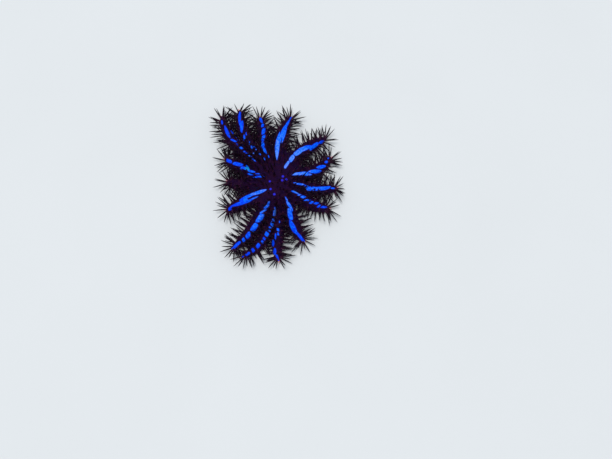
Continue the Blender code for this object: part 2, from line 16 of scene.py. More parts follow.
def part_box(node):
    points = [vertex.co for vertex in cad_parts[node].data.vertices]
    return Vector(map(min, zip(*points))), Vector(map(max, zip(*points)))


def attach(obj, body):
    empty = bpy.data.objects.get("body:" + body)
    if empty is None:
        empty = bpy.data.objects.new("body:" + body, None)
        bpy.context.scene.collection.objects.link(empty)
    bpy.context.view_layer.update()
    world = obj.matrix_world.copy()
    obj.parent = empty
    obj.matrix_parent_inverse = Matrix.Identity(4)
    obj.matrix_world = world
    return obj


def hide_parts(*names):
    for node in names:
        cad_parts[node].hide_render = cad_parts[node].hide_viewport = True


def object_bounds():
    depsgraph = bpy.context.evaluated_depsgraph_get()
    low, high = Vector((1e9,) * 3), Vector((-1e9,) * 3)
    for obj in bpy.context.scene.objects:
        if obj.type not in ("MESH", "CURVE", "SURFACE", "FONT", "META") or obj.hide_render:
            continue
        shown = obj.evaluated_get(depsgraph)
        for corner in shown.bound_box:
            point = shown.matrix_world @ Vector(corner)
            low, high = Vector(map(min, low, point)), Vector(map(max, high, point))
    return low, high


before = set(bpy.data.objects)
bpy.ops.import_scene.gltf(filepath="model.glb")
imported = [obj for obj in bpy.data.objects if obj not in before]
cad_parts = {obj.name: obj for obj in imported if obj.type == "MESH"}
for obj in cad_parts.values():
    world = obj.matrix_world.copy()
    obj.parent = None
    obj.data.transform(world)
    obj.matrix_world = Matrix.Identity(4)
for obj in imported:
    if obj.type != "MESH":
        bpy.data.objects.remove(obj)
solid_low, solid_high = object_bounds()
mouth_low, mouth_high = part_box("mouth")
disc_middle = np.array([(mouth_low.x + mouth_high.x) / 2, (mouth_low.y + mouth_high.y) / 2, 0.0])


# Viewpoint
# High over the animal and a little to the near side of it. The disc's middle falls on its own pixel because
# the camera is turned, with no shift of the lens.
PICTURE_WIDTH, PICTURE_HEIGHT = 612, 459
SENSOR_MM = 36.0
NEAREST_SEEN = 0.01
VIEW_DISTANCE = 0.80
VIEW_ELEVATION = math.radians(70.0)
PIXEL_AT_DISC = 0.0022
DISC_PIXEL = (276.0, 180.0)
DISC_MID_HEIGHT = 0.020


def make_camera():
    """A camera whose ray through the disc's pixel meets the disc's middle.

    Without its turn it would look from the given elevation, and its distance sets how large a pixel is there.
    """
    focal_pixels = VIEW_DISTANCE / PIXEL_AT_DISC
    back = Vector((0.0, -math.cos(VIEW_ELEVATION), math.sin(VIEW_ELEVATION)))
    right = Vector((1.0, 0.0, 0.0))
    look = Matrix((right, back.cross(right), back)).transposed()
    across = (DISC_PIXEL[0] - PICTURE_WIDTH / 2) / focal_pixels
    down = (DISC_PIXEL[1] - PICTURE_HEIGHT / 2) / focal_pixels
    ray = Vector((across, -down, -1.0)).normalized()
    turn = ray.rotation_difference(Vector((0.0, 0.0, -1.0))).to_matrix()
    camera = bpy.data.objects.new("camera", bpy.data.cameras.new("camera"))
    camera.data.sensor_width = SENSOR_MM
    camera.data.lens = SENSOR_MM * focal_pixels / PICTURE_WIDTH
    camera.data.clip_start = NEAREST_SEEN
    eye = Vector(disc_middle) + Vector((0.0, 0.0, DISC_MID_HEIGHT)) + VIEW_DISTANCE * back
    camera.matrix_world = Matrix.Translation(eye) @ (look @ turn).to_4x4()
    bpy.context.scene.collection.objects.link(camera)
    bpy.context.scene.camera = camera


make_camera()


# Floor and light
# A plain pale matt floor under an even sky, with one broad soft light that comes from high on the far left.
FLOOR_HALF = 12.0
FLOOR_COLOUR = (0.60, 0.62, 0.63)
FLOOR_SHADE = 0.96
SKY_COLOUR = (0.86, 0.92, 1.0, 1.0)
SKY_STRENGTH = 0.68
KEY_FROM = (-0.22, 0.14, 1.0)
KEY_STRENGTH = 2.35
KEY_SPREAD = math.radians(28.0)
KEY_COLOUR = (1.0, 0.985, 0.96)


class Finish:
    """A material's node tree, with a short call for each kind of node that the finishes here are made of."""

    def __init__(self, name):
        self.material = bpy.data.materials.new(name)
        self.material.use_nodes = True
        self.tree = self.material.node_tree
        self.shader = self.tree.nodes["Principled BSDF"]
        self.position = self.node("TexCoord").outputs["Object"]

    def node(self, kind, inputs=None, **settings):
        """Makes a node with its settings, and feeds its inputs."""
        made = self.tree.nodes.new("ShaderNode" + kind)
        for key, value in settings.items():
            setattr(made, key, value)
        for key, value in (inputs or {}).items():
            self.feed(made.inputs[key], value)
        return made

    def feed(self, socket, value):
        """Links a socket to the value, or sets it. A colour's opacity is added to its red, green and blue."""
        if isinstance(value, bpy.types.NodeSocket):
            self.tree.links.new(value, socket)
        else:
            socket.default_value = (*value, 1.0) if isinstance(value, tuple) else value

    def shade(self, **sockets):
        """Feeds the shader's own sockets, whose spaces are written as underscores."""
        for key, value in sockets.items():
            self.feed(self.shader.inputs[key.replace("_", " ")], value)

    def noise(self, scale, detail=3.0, roughness=0.5):
        """Clouds from 0 to 1, the scale being how many lie on a metre."""
        inputs = {"Vector": self.position, "Scale": scale, "Detail": detail, "Roughness": roughness}
        return self.node("TexNoise", inputs).outputs["Fac"]

    def cells(self, scale):
        """The way from the middles of grains."""
        return self.node("TexVoronoi", {"Vector": self.position, "Scale": scale}).outputs["Distance"]

    def attribute(self, name):
        """A number that the mesh holds at each of its points."""
        return self.node("Attribute", attribute_name=name).outputs["Fac"]

    def ease(self, value, low, high, first=0.0, last=1.0):
        """Runs smoothly from first to last as the value goes from low to high."""
        inputs = {"Value": value, "From Min": low, "From Max": high, "To Min": first, "To Max": last}
        return self.node("MapRange", inputs, interpolation_type="SMOOTHSTEP").outputs["Result"]

    def sum(self, a, b, share=1.0):
        """a plus a share of b."""
        return self.node("Math", {0: b, 1: share, 2: a}, operation="MULTIPLY_ADD").outputs["Value"]

    def mix(self, share, a, b):
        """A colour between a and b."""
        return self.node("Mix", {0: share, 6: a, 7: b}, data_type="RGBA").outputs[2]

    def bump(self, height, distance, under=None):
        """A relief as high as the distance, laid over another where one is given."""
        inputs = {"Height": height, "Distance": distance, "Strength": 1.0}
        if under is not None:
            inputs["Normal"] = under
        return self.node("Bump", inputs).outputs["Normal"]


def make_floor():
    """One large square, whose colour varies a little like lime plaster."""
    finish = Finish("floor_plaster")
    shade = tuple(FLOOR_SHADE * c for c in FLOOR_COLOUR)
    colour = finish.mix(finish.noise(3.0), FLOOR_COLOUR, shade)
    finish.shade(Base_Color=colour, Roughness=0.75, Specular_IOR_Level=0.25)
    mesh = bpy.data.meshes.new("floor")
    corners = [(x, y, 0.0) for x, y in ((-1, -1), (1, -1), (1, 1), (-1, 1))]
    mesh.from_pydata((FLOOR_HALF * np.array(corners)).tolist(), [], [(0, 1, 2, 3)])
    mesh.materials.append(finish.material)
    floor = bpy.data.objects.new("floor", mesh)
    bpy.context.scene.collection.objects.link(floor)


def make_light():
    """A broad sun, so that its light falls off nowhere, and an even pale sky."""
    sun = bpy.data.lights.new("key", "SUN")
    sun.energy = KEY_STRENGTH
    sun.angle = KEY_SPREAD
    sun.color = KEY_COLOUR
    light = bpy.data.objects.new("key", sun)
    light.rotation_euler = Vector(KEY_FROM).to_track_quat("Z", "Y").to_euler()
    bpy.context.scene.collection.objects.link(light)
    world = bpy.data.worlds.new("sky")
    world.use_nodes = True
    sky = world.node_tree.nodes["Background"]
    sky.inputs["Color"].default_value = SKY_COLOUR
    sky.inputs["Strength"].default_value = SKY_STRENGTH
    bpy.context.scene.world = world
    bpy.context.scene.view_settings.view_transform = "Standard"


make_floor()
make_light()


# Skin
# One leathery, velvety skin covers the oval disc and the fifteen arms. It is dark purple, and each arm
# carries vivid blue strokes along its crest, which run to points or are parted by narrow dark bars.
# Arms, clockwise from the one that points away from the viewer: bearing at the centre and at the tip, bow
# between the two, and reach.
ARMS = np.array(
    [
        (90.0, 77.0, -1.0, 0.160),
        (58.0, 42.0, -2.5, 0.153),
        (20.0, 25.0, -7.0, 0.135),
        (-12.5, -6.0, -2.0, 0.134),
        (-36.0, -28.5, -1.5, 0.130),
        (-57.5, -66.0, -8.5, 0.146),
        (-76.5, -88.5, -8.0, 0.174),
        (-93.0, -113.0, 2.5, 0.180),
        (-108.0, -122.0, -1.0, 0.175),
        (-137.0, -148.5, -4.0, 0.123),
        (-167.0, -180.0, 0.0, 0.104),
        (-194.0, -204.5, -4.0, 0.122),
        (-223.0, -231.5, 2.5, 0.196),
        (-241.0, -244.0, 5.5, 0.188),
        (-254.0, -257.0, 1.0, 0.157),
    ]
)
ARM_COUNT = len(ARMS)
# The share of its reach up to which an arm's line still turns.
PAST_TIP = 1.08
# The disc: half axes of its rim, heights at its middle and rim, how far the rim dips and turns up between the
# arms, and the radius at which the arms' bearings part it into sectors.
DISC_HALF_WIDTH = 0.056
DISC_HALF_LENGTH = 0.072
DISC_TOP = 0.029
RIM_TOP = 0.025
RIM_DIP = 0.007
RIM_UNDERSIDE = 0.0025
BEARING_RADIUS = 0.065
LEAST_RADIUS = 1e-5
# The arms: width and height near the rim, the share of each that goes evenly along the arm and the share that
# is left at the tip, and how the tip is rounded, lifted and capped.
ARM_HALF_WIDTH = 0.0155
ARM_HEIGHT = 0.0245
WIDTH_TAPER, TIP_WIDTH_SHARE = 0.08, 0.33
HEIGHT_TAPER, TIP_HEIGHT_SHARE = 0.12, 0.38
TIP_ROUNDING = 0.32
TIP_LIFT = 0.005
TIP_CAP = 0.0022
# The web between two arms: its length and softness. Then the shares of an arm over which its own height and
# its half-round section come in, and how high its side walls are.
WEB_BLEND = 0.012
WEB_SOFTNESS = 0.02
FORM_LENGTH = 0.25
ROUNDING_LENGTH = 0.30
SIDE_SHARE = 0.36
# The underside: depth, narrowing and width of the grooves, width and rise of the soles, and the mouth.
GROOVE_DEPTH = 0.005
GROOVE_TAPER = 0.45
GROOVE_SHARE = 0.36
SOLE_SHARE = 0.82
SOLE_RISE = 0.0022
MOUTH_RADIUS = 0.0115
MOUTH_RECESS = 0.0065


def smooth_step(x):
    """Rises from 0 to 1 with level ends: x squared times three minus two x."""
    x = np.clip(x, 0.0, 1.0)
    return x * x * (3.0 - 2.0 * x)


def smaller(a, b, softness):
    """The smaller of two values, with the corner between them rounded.

    Half of their sum, less half the root of their difference squared plus the softness squared.
    """
    return 0.5 * (a + b - np.sqrt((a - b) ** 2 + softness**2))


def unit(vectors):
    """The vectors, each made one long."""
    return vectors / np.linalg.norm(vectors, axis=-1, keepdims=True)


def polar(radius, direction, middle=disc_middle):
    """Plan position at a radius and a direction from a middle."""
    return middle[0] + radius * np.cos(direction), middle[1] + radius * np.sin(direction)


def bearing(arm, radius):
    """An arm's direction: its tip's comes in with the square of the radius, and a bow is added on the way."""
    turns, arm = np.divmod(arm, ARM_COUNT)
    base, tip, bow, reach = np.moveaxis(ARMS[arm], -1, 0)
    share = np.minimum(radius / reach, PAST_TIP)
    return np.radians(base - 360.0 * turns + (tip - base) * share**2 + 4.0 * bow * share * (1.0 - share))


def half_spacing(arm, radius, side):
    """Half the angle from an arm's line to its neighbour's on the side +1 or -1."""
    return 0.5 * np.abs(bearing(arm - side, radius) - bearing(arm, radius))


def rim_radius(direction):
    """Radius of the rim's ellipse: the product of its half axes, over the root of the sum of squares of one
    half axis times the cosine and of the other times the sine."""
    span = np.hypot(DISC_HALF_LENGTH * np.cos(direction), DISC_HALF_WIDTH * np.sin(direction))
    return DISC_HALF_WIDTH * DISC_HALF_LENGTH / span


def ring_radius(arm, u):
    """Radius of the disc's rim at the place u across an arm's sector, which runs from -1 to 1."""
    side = np.where(np.asarray(u) >= 0, 1, -1)
    spread = side * half_spacing(arm, BEARING_RADIUS, side)
    return rim_radius(bearing(arm, BEARING_RADIUS) + np.abs(u) * spread)


def skew(arm, radius):
    """Sine of the angle between an arm's line and the radius, from how far it turns over a small step."""
    step = 0.001
    turn = radius * (bearing(arm, radius + step) - bearing(arm, radius - step)) / (2.0 * step)
    return turn / np.hypot(1.0, turn)


def arm_length(arm):
    """How far an arm reaches past the rim."""
    return ARMS[arm, 3] - ring_radius(arm, 0.0)


def tip_rounding(t):
    """The share of its size that an arm keeps, which falls smoothly over its last tenth."""
    return 1.0 - TIP_ROUNDING * smooth_step(10.0 * t - 9.0)


def natural_half_width(t):
    """Half width of an uncrowded arm, t being 0 at the rim and 1 at the tip: a cubic fall and a round end."""
    fall = WIDTH_TAPER * t + (1.0 - WIDTH_TAPER - TIP_WIDTH_SHARE) * t**3
    return ARM_HALF_WIDTH * (1.0 - fall) * tip_rounding(t)


def plan(arm, u, f):
    """Plan position at u across and f along, f being 0 at the centre, 1 at the rim and 2 at the tip.

    The radius is a share of the rim's, and past the rim grows by a share of the arm's length, less a shear
    that keeps cross-sections square to the arm. The direction is the arm's bearing plus u times the half
    width as an angle. That passes from the whole sector to the arm's own width over the web between the
    arms, and never over the line between two arms.
    """
    side = np.where(np.asarray(u) >= 0, 1, -1)
    ring = ring_radius(arm, u)
    t = np.maximum(f - 1.0, 0.0)
    length, width = arm_length(arm), natural_half_width(t)
    tilt = skew(arm, ring + t * length)
    radius = np.minimum(f, 1.0) * ring + t * length - u * width * tilt * smooth_step(t / FORM_LENGTH)
    radius = np.maximum(radius, LEAST_RADIUS)
    limit = half_spacing(arm, radius, side)
    free = smaller(width / np.sqrt(1.0 - tilt**2) / radius, limit, WEB_SOFTNESS)
    spread = limit + (free - limit) * smooth_step(t * length / WEB_BLEND)
    return polar(radius, bearing(arm, radius) + u * spread)


def tip_lift(f):
    """How far an arm turns up, with the fourth power of the way along it."""
    return TIP_LIFT * np.maximum(f - 1.0, 0.0) ** 4


def upper_heights(u, f):
    """Heights of the side's top and of the skin at u: a wave across the disc, turning into a half-round arm.

    The wave is a squared cosine, which dips between the arms from three eighths of the way to the rim on. The
    arm's section is a half circle on its side walls, and its height falls as its width does.
    """
    t = np.maximum(f - 1.0, 0.0)
    disc_crest = DISC_TOP - (DISC_TOP - RIM_TOP) * np.minimum(f, 1.0) ** 2
    taper = 1.0 - HEIGHT_TAPER * t - (1.0 - HEIGHT_TAPER - TIP_HEIGHT_SHARE) * t**3
    height = ARM_HEIGHT * taper * tip_rounding(t)
    height = height + (RIM_TOP - ARM_HEIGHT) * (1.0 - smooth_step(t / FORM_LENGTH))
    crest = np.where(f <= 1.0, disc_crest, tip_lift(f) + height)
    rounded = smooth_step(t / ROUNDING_LENGTH)
    dip = RIM_DIP * smooth_step(1.6 * np.minimum(f, 1.0) - 0.6)
    side_top = (crest - dip) * (1.0 - rounded) + (tip_lift(f) + SIDE_SHARE * height) * rounded
    wave = np.cos(0.5 * np.pi * u) ** 2
    dome = np.sqrt(np.maximum(1.0 - u * u, 0.0))
    return side_top, side_top + (crest - side_top) * (wave + (dome - wave) * rounded)


def lower_height(u, f):
    """Height of the underside: soles on a low rise, a round groove along the middle, edges that turn up."""
    groove = (GROOVE_DEPTH - SOLE_RISE) * (1.0 - GROOVE_TAPER * np.maximum(f - 1.0, 0.0))
    groove = groove * np.cos(0.5 * np.pi * np.minimum(np.abs(u) / GROOVE_SHARE, 1.0)) ** 2
    edge = 0.5 * RIM_UNDERSIDE * np.minimum(f, 1.0) ** 4
    edge = edge * smooth_step((np.abs(u) - SOLE_SHARE) / (1.0 - SOLE_SHARE))
    return tip_lift(f) + SOLE_RISE + groove + edge


def upper_point(arm, u, f):
    """A place on the upper skin: the plan position at its height."""
    return np.stack([*plan(arm, u, f), upper_heights(u, f)[1] + 0.0 * u], axis=-1)


def lower_point(arm, u, f, above=0.0):
    """A place on the underside, or so far above it."""
    return np.stack([*plan(arm, u, f), lower_height(u, f) + above], axis=-1)


def locate(points):
    """For each point: the arm whose line is nearest at its radius, the radius, and its angle and way off
    that line, to the left."""
    x, y = points[..., 0] - disc_middle[0], points[..., 1] - disc_middle[1]
    radius, direction = np.hypot(x, y), np.arctan2(y, x)
    off = direction - bearing(np.arange(ARM_COUNT)[:, None], radius[None])
    off = (off + np.pi) % (2.0 * np.pi) - np.pi
    arm = np.argmin(np.abs(off), axis=0)
    off = np.take_along_axis(off, arm[None], 0)[0]
    return arm, radius, off, off * radius * np.sqrt(1.0 - skew(arm, radius) ** 2)


# Skin, grid
# Rows run out from the mouth or the crown's middle to the tips, and columns run across each arm.
DISC_ROWS = 34
ARM_ROWS = 92
CAP_ROWS = 4
COLUMN_PLACES = np.linspace(-1.0, 1.0, 35)
EVEN_SHARE = 0.35
UPPER_COLUMNS = EVEN_SHARE * COLUMN_PLACES + (1.0 - EVEN_SHARE) * np.sin(0.5 * np.pi * COLUMN_PLACES)
LOWER_COLUMNS = np.array([-1.0, -0.82, -0.60, -0.36, -0.18, 0.0, 0.18, 0.36, 0.60, 0.82, 1.0])
WALL_SHARES = np.linspace(0.0, 1.0, 5)[:-1]
WELD = 0.00002
SMOOTHING_ROUNDS = 7
# The skin's map has an upright strip for each arm. The upper skin takes the same height for the disc and for
# the arm, from the bottom up, and the underside does so from the mouth down. Across a strip lies the crest,
# with the side walls beside it.
UNROLL_UPPER = 0.24
UNROLL_MOUTH, UNROLL_LOWER = 0.98, 0.23
UNROLL_CREST = 0.40
UNROLL_WALL = 0.07


def unrolled(arm, across, v):
    """Place on the skin's map: a share across an arm's strip, and the way up."""
    return np.stack(np.broadcast_arrays((arm + 0.5 + across) / ARM_COUNT, v), axis=-1)


def upper_place(arm, u, f, level=1.0):
    """Place of the upper skin on the map, or of a side wall at a level from 0 at its foot to 1 at its top."""
    return unrolled(arm, UNROLL_CREST * u + UNROLL_WALL * (1.0 - level) * np.sign(u), UNROLL_UPPER * f)


def capped(rows):
    """Adds rows that close an arm: its last one shrinks to a point as it moves ahead on a quarter circle."""
    last, before = rows[-1], rows[-2]
    middle = last.mean(axis=0)
    ahead = unit(middle - before.mean(axis=0))
    turn = 0.5 * np.pi * np.arange(1, CAP_ROWS + 1)[:, None, None] / CAP_ROWS
    shrunk = middle + (last - middle) * np.cos(turn) + ahead * TIP_CAP * np.sin(turn)
    return np.concatenate([rows, shrunk])


def upper_arm_sheet(arm):
    """The skin over an arm from its one lower edge to the other: up a wall, over the back, down a wall."""
    f = np.linspace(1.0, 2.0, ARM_ROWS)[:, None]
    back = upper_point(arm, UPPER_COLUMNS[None], f)
    walls = []
    for side in (-1.0, 1.0):
        x, y = plan(arm, side, f)
        low, top = lower_height(side, f), upper_heights(side, f)[0]
        z = low + (top - low) * WALL_SHARES
        walls.append(np.stack(np.broadcast_arrays(x, y, z), axis=-1))
    rows = capped(np.concatenate([walls[0], back, walls[1][:, ::-1]], axis=1))
    wall = UNROLL_CREST + UNROLL_WALL * (1.0 - WALL_SHARES)
    across = np.concatenate([-wall, UNROLL_CREST * UPPER_COLUMNS, wall[::-1]])
    out = np.linspace(0.0, 1.0, len(rows))[:, None]
    return rows, unrolled(arm, across[None], UNROLL_UPPER + UNROLL_UPPER * out)


def lower_sheets(arm):
    """The underside of the disc, with the ceiling over the mouth, and that of the arm."""
    u = LOWER_COLUMNS[None]
    inner = MOUTH_RADIUS / ring_radius(arm, u)
    under = lower_point(arm, u, inner + (1.0 - inner) * np.linspace(0.0, 1.0, DISC_ROWS)[:, None])
    ceiling = under[:1] * [1.0, 1.0, 0.0] + [0.0, 0.0, MOUTH_RECESS]
    middle = 0.0 * ceiling + disc_middle + [0.0, 0.0, MOUTH_RECESS]
    under = np.concatenate([middle, ceiling, under])
    columns = np.broadcast_to(u, (ARM_ROWS, len(LOWER_COLUMNS)))
    sole = capped(lower_point(arm, columns, np.linspace(1.0, 2.0, ARM_ROWS)[:, None]))
    sheets = []
    for rows, start in ((under, UNROLL_MOUTH), (sole, UNROLL_MOUTH - UNROLL_LOWER)):
        out = np.linspace(0.0, 1.0, len(rows))[:, None]
        sheets.append((rows, unrolled(arm, UNROLL_CREST * u, start - UNROLL_LOWER * out)))
    return sheets


def skin_sheets():
    """Every grid of the skin, each with its places on the map. They meet along shared rows and columns."""
    sheets = []
    f = np.linspace(0.0, 1.0, DISC_ROWS)[:, None]
    for arm in range(ARM_COUNT):
        crown = upper_point(arm, UPPER_COLUMNS[None], f)
        sheets.append((crown, upper_place(arm, UPPER_COLUMNS[None], f)))
        sheets.append(upper_arm_sheet(arm))
        sheets.extend(lower_sheets(arm))
    return sheets


def grid_quads(rows, columns, start=0):
    """The faces of a grid whose points are numbered row by row."""
    index = start + np.arange(rows * columns).reshape(rows, columns)
    corners = [index[:-1, :-1], index[:-1, 1:], index[1:, 1:], index[1:, :-1]]
    return np.stack(corners, axis=-1).reshape(-1, 4)


def make_mesh(name, points, faces, corner_places):
    """A mesh whose map OFBake holds one place for each corner of each face, in the faces' order."""
    mesh = bpy.data.meshes.new(name)
    mesh.from_pydata(points.tolist(), [], faces)
    layer = mesh.uv_layers.new(name="OFBake")
    layer.data.foreach_set("uv", corner_places.astype(np.float32).ravel())
    return mesh


def joined(name, sheets, smoothing=0):
    """One closed mesh from grids that meet along their edges, or shrink to a point at a pole."""
    points, quads, places, start = [], [], [], 0
    for grid, unroll in sheets:
        faces = grid_quads(*grid.shape[:2], start)
        points.append(grid.reshape(-1, 3))
        quads.append(faces)
        places.append(unroll.reshape(-1, 2)[faces - start].reshape(-1, 2))
        start += grid.shape[0] * grid.shape[1]
    points, quads, places = (np.concatenate(part) for part in (points, quads, places))
    mesh = make_mesh(name, points, quads.tolist(), places)
    shape = bmesh.new()
    shape.from_mesh(mesh)
    bmesh.ops.remove_doubles(shape, verts=shape.verts, dist=WELD)
    every_way = {"use_axis_x": True, "use_axis_y": True, "use_axis_z": True}
    for _ in range(smoothing):
        bmesh.ops.smooth_vert(shape, verts=shape.verts, factor=0.5, **every_way)
    bmesh.ops.recalc_face_normals(shape, faces=shape.faces)
    shape.to_mesh(mesh)
    shape.free()
    return mesh


# Skin, strokes of the bands
# Each stroke: arm from 1, where it starts and ends out from the centre, how far it lies to the left of the
# arm's line at each end, its half width at its middle, and the slant of its ends. A stroke with no slant runs
# to points, and the others are cut off along their slant. All lengths here are in millimetres.
# The eleventh arm has no strokes: its band is left out as painted shade, so that arm is all dark leather.
STROKES = np.array(
    [
        (1, 150, 163, -1.2, -0.6, 2.1, 0.0), (1, 42, 115, -0.8, 5.4, 5.5, 0.0),
        (1, 84, 136, -4.6, -1.2, 6.1, 0.0), (1, 116, 152, -2.8, -1.6, 3.1, 0.0),
        (2, 30, 51, -1.5, 0.8, 3.7, 0.4), (2, 51, 69, 0.4, 2.4, 5.8, 0.5),
        (2, 104, 131, -7.6, -4.2, 4.2, 0.4), (2, 129, 149, -5.2, -3.2, 2.6, 0.0),
        (2, 69, 97, 3.4, 1.2, 6.6, 0.3), (2, 78, 114, 3.4, -2.8, 6.2, 0.0),
        (3, 56, 81, -0.8, -8.2, 3.2, 0.0), (3, 72, 104, 0.6, -8.8, 4.5, 0.0),
        (3, 92, 117, 2.8, -5.6, 4.0, 0.0), (3, 115, 125, 2.2, -1.4, 3.2, 0.0),
        (3, 126, 135, 2.5, 4.2, 2.2, 0.0), (3, 34, 60, 1.4, 0.6, 3.6, 0.1),
        (3, 42, 74, 1.0, -1.6, 4.2, 0.0),
        (4, 62, 71, -2.8, -3.8, 1.9, 0.0), (4, 62, 72, 1.4, 0.6, 1.7, 0.0),
        (4, 68, 90, -4.6, -2.6, 5.0, 0.1), (4, 82, 119, -3.6, 1.2, 5.2, 0.7),
        (4, 120, 132, -0.6, -1.4, 2.2, 0.0), (4, 37, 64, 0.6, 2.4, 3.0, 0.0),
        (5, 43, 58, -1.4, 2.2, 2.8, 0.7), (5, 58, 64, 0.2, 1.6, 3.6, 0.6), (5, 65, 75, 1.2, 1.8, 4.6, 0.5),
        (5, 77, 86, -2.6, 1.6, 3.6, 0.7), (5, 88, 95, -1.0, -0.8, 4.4, 0.4),
        (5, 97, 106, 1.6, 2.8, 4.0, 0.5), (5, 106, 112, -2.0, -1.6, 4.4, 0.2),
        (5, 114, 126, -1.6, 1.8, 3.7, 0.5),
        (6, 44, 49, 1.0, 1.4, 2.0, 0.4), (6, 48, 55, 1.8, 2.4, 2.3, 0.4), (6, 53, 75, 0.6, 6.6, 3.9, 0.0),
        (6, 71, 80, 7.6, 6.2, 2.0, 0.0), (6, 68, 98, 1.6, -3.6, 5.0, 0.7),
        (6, 93, 129, -5.8, -5.2, 5.5, 0.0), (6, 120, 151, -3.8, -0.8, 3.5, 0.0),
        (7, 91, 98, 3.5, 3.5, 1.4, 0.0), (7, 107, 115, 0.8, 1.6, 3.0, 0.4),
        (7, 130, 147, -8.7, -8.4, 3.1, 0.0), (7, 148, 164, -5.2, -6.6, 3.7, 0.0),
        (7, 162, 171, -3.0, -1.2, 2.7, 0.4), (7, 171, 181, 0.6, 1.8, 2.4, 0.3),
        (7, 116, 124, 1.8, 2.0, 2.4, 0.4), (7, 117, 134, -3.2, -4.0, 1.9, 0.0),
        (8, 105, 110, 1.6, 2.0, 3.8, 0.4), (8, 111, 116, 2.0, 2.4, 3.5, 0.4),
        (8, 117, 127, 0.8, 1.6, 5.0, 0.5), (8, 129, 135, 1.4, 1.8, 3.5, 0.6),
        (8, 136, 142, 2.4, 2.8, 3.7, 0.6), (8, 144, 154, 0.6, 1.8, 4.2, 0.6),
        (8, 157, 164, 0.4, 1.0, 4.8, 0.6), (8, 166, 176, 0.4, 1.2, 2.9, 0.3),
        (8, 177, 183, 0.8, 1.2, 2.1, 0.2), (8, 61, 88, 0.8, 3.2, 3.5, 0.0), (8, 87, 93, 2.4, 2.8, 3.3, 0.5),
        (8, 94, 104, 2.6, 3.0, 4.2, 0.6),
        (9, 50, 61, 3.8, 3.0, 2.4, 0.0), (9, 59, 70, 4.4, 0.8, 3.6, -0.4),
        (9, 71, 83, 5.0, -4.2, 3.4, -0.4), (9, 81, 104, 1.6, 2.6, 6.0, -0.5),
        (9, 105, 126, 2.4, 3.4, 5.9, 0.15), (9, 128, 143, 3.0, 3.6, 5.1, 0.6),
        (9, 153, 177, 0.6, 1.2, 3.5, 0.2), (9, 144, 152, 2.6, 3.0, 4.4, 0.6),
        (10, 111, 121, 2.6, 1.6, 3.5, 0.5), (10, 30, 68, 6.0, -4.2, 4.4, 0.0),
        (10, 47, 92, -1.8, -4.6, 4.2, 0.0), (10, 52, 76, 7.6, 5.0, 1.9, 0.0),
        (10, 74, 92, 1.4, -0.6, 4.4, 0.1), (10, 67, 114, 7.4, -1.6, 4.4, 0.0),
        (12, 38, 51, 7.4, 11.6, 1.7, 0.0), (12, 46, 63, 0.2, 2.2, 2.7, 0.0),
        (12, 48, 64, 5.4, 8.8, 2.3, 0.0), (12, 57, 74, 5.0, -8.4, 4.2, 0.0),
        (12, 67, 81, 1.0, 3.6, 4.7, 0.4), (12, 78, 101, -2.8, 1.4, 5.0, 0.3),
        (12, 103, 119, 0.6, 1.2, 3.8, -0.4), (12, 24, 44, 3.4, 7.2, 2.0, 0.0),
        (12, 33, 48, -0.6, 3.8, 1.4, 0.0),
        (13, 58, 67, -1.8, -1.6, 2.2, 0.0), (13, 66, 74, -1.4, -2.0, 2.0, 0.0),
        (13, 74, 82, -2.6, -1.6, 2.3, 0.5), (13, 84, 90, -2.8, -1.8, 2.5, 0.5),
        (13, 91, 97, -1.2, -0.6, 2.5, 0.5), (13, 100, 109, -2.2, -1.4, 3.3, 0.4),
        (13, 114, 121, -0.6, -0.2, 1.5, 0.0), (13, 123, 136, -2.8, 3.4, 3.0, 0.4),
        (13, 138, 172, 3.0, -0.2, 4.0, 0.0), (13, 176, 188, 2.6, 2.2, 2.4, 0.0),
        (13, 106, 113, -10.5, -10.5, 2.0, 0.0), (13, 121, 128, -9.5, -8.5, 2.0, 0.0),
        (13, 130, 138, -10.0, -10.0, 1.9, 0.0), (13, 142, 157, -8.4, -8.4, 2.7, 0.0),
        (14, 49, 58, -3.6, -6.2, 2.1, 0.0), (14, 64, 74, -3.2, -4.4, 2.5, 0.0),
        (14, 74, 82, 6.2, 5.0, 2.3, 0.0), (14, 77, 84, -3.2, -2.4, 2.4, 0.0),
        (14, 85, 92, -2.8, -2.4, 2.0, 0.0), (14, 87, 96, 3.4, 1.4, 2.3, 0.0),
        (14, 97, 103, 4.0, 1.0, 1.8, 0.0), (14, 101, 109, 1.0, 0.0, 2.0, 0.0),
        (14, 112, 127, 8.6, 2.4, 3.2, 0.0), (14, 121, 130, -1.2, -4.2, 2.1, 0.0),
        (14, 132, 162, 5.2, -5.2, 4.6, 0.0), (14, 147, 189, 3.0, -2.6, 3.5, 0.0),
        (15, 50, 58, 0.2, 1.0, 2.2, 0.0), (15, 60, 69, 1.6, 3.2, 2.2, 0.0),
        (15, 96, 108, 2.2, -2.2, 5.3, -0.4), (15, 110, 126, -1.0, -6.0, 5.0, -0.4),
        (15, 128, 138, -3.0, -4.8, 3.7, -0.4), (15, 138, 158, -3.8, 0.8, 3.5, 0.0),
        (15, 64, 83, 3.6, 5.6, 3.2, 0.0), (15, 79, 90, 5.4, 5.2, 4.4, -0.4),
        (15, 90.5, 95.5, 4.6, 2.6, 4.2, -0.5),
    ]
)
# The share of its half width that each stroke is drawn with, and how much shorter it is at each end.
STROKE_SHARE, STROKE_GAP = 0.92, 0.7
# Power and root of a stroke's swell, where it is cut off and where it runs to points.
CUT_SWELL, POINTED_SWELL = (4.0, 0.5), (2.2, 0.8)
# The depth of places that are in no stroke or spot at all.
OUTSIDE = -9.0
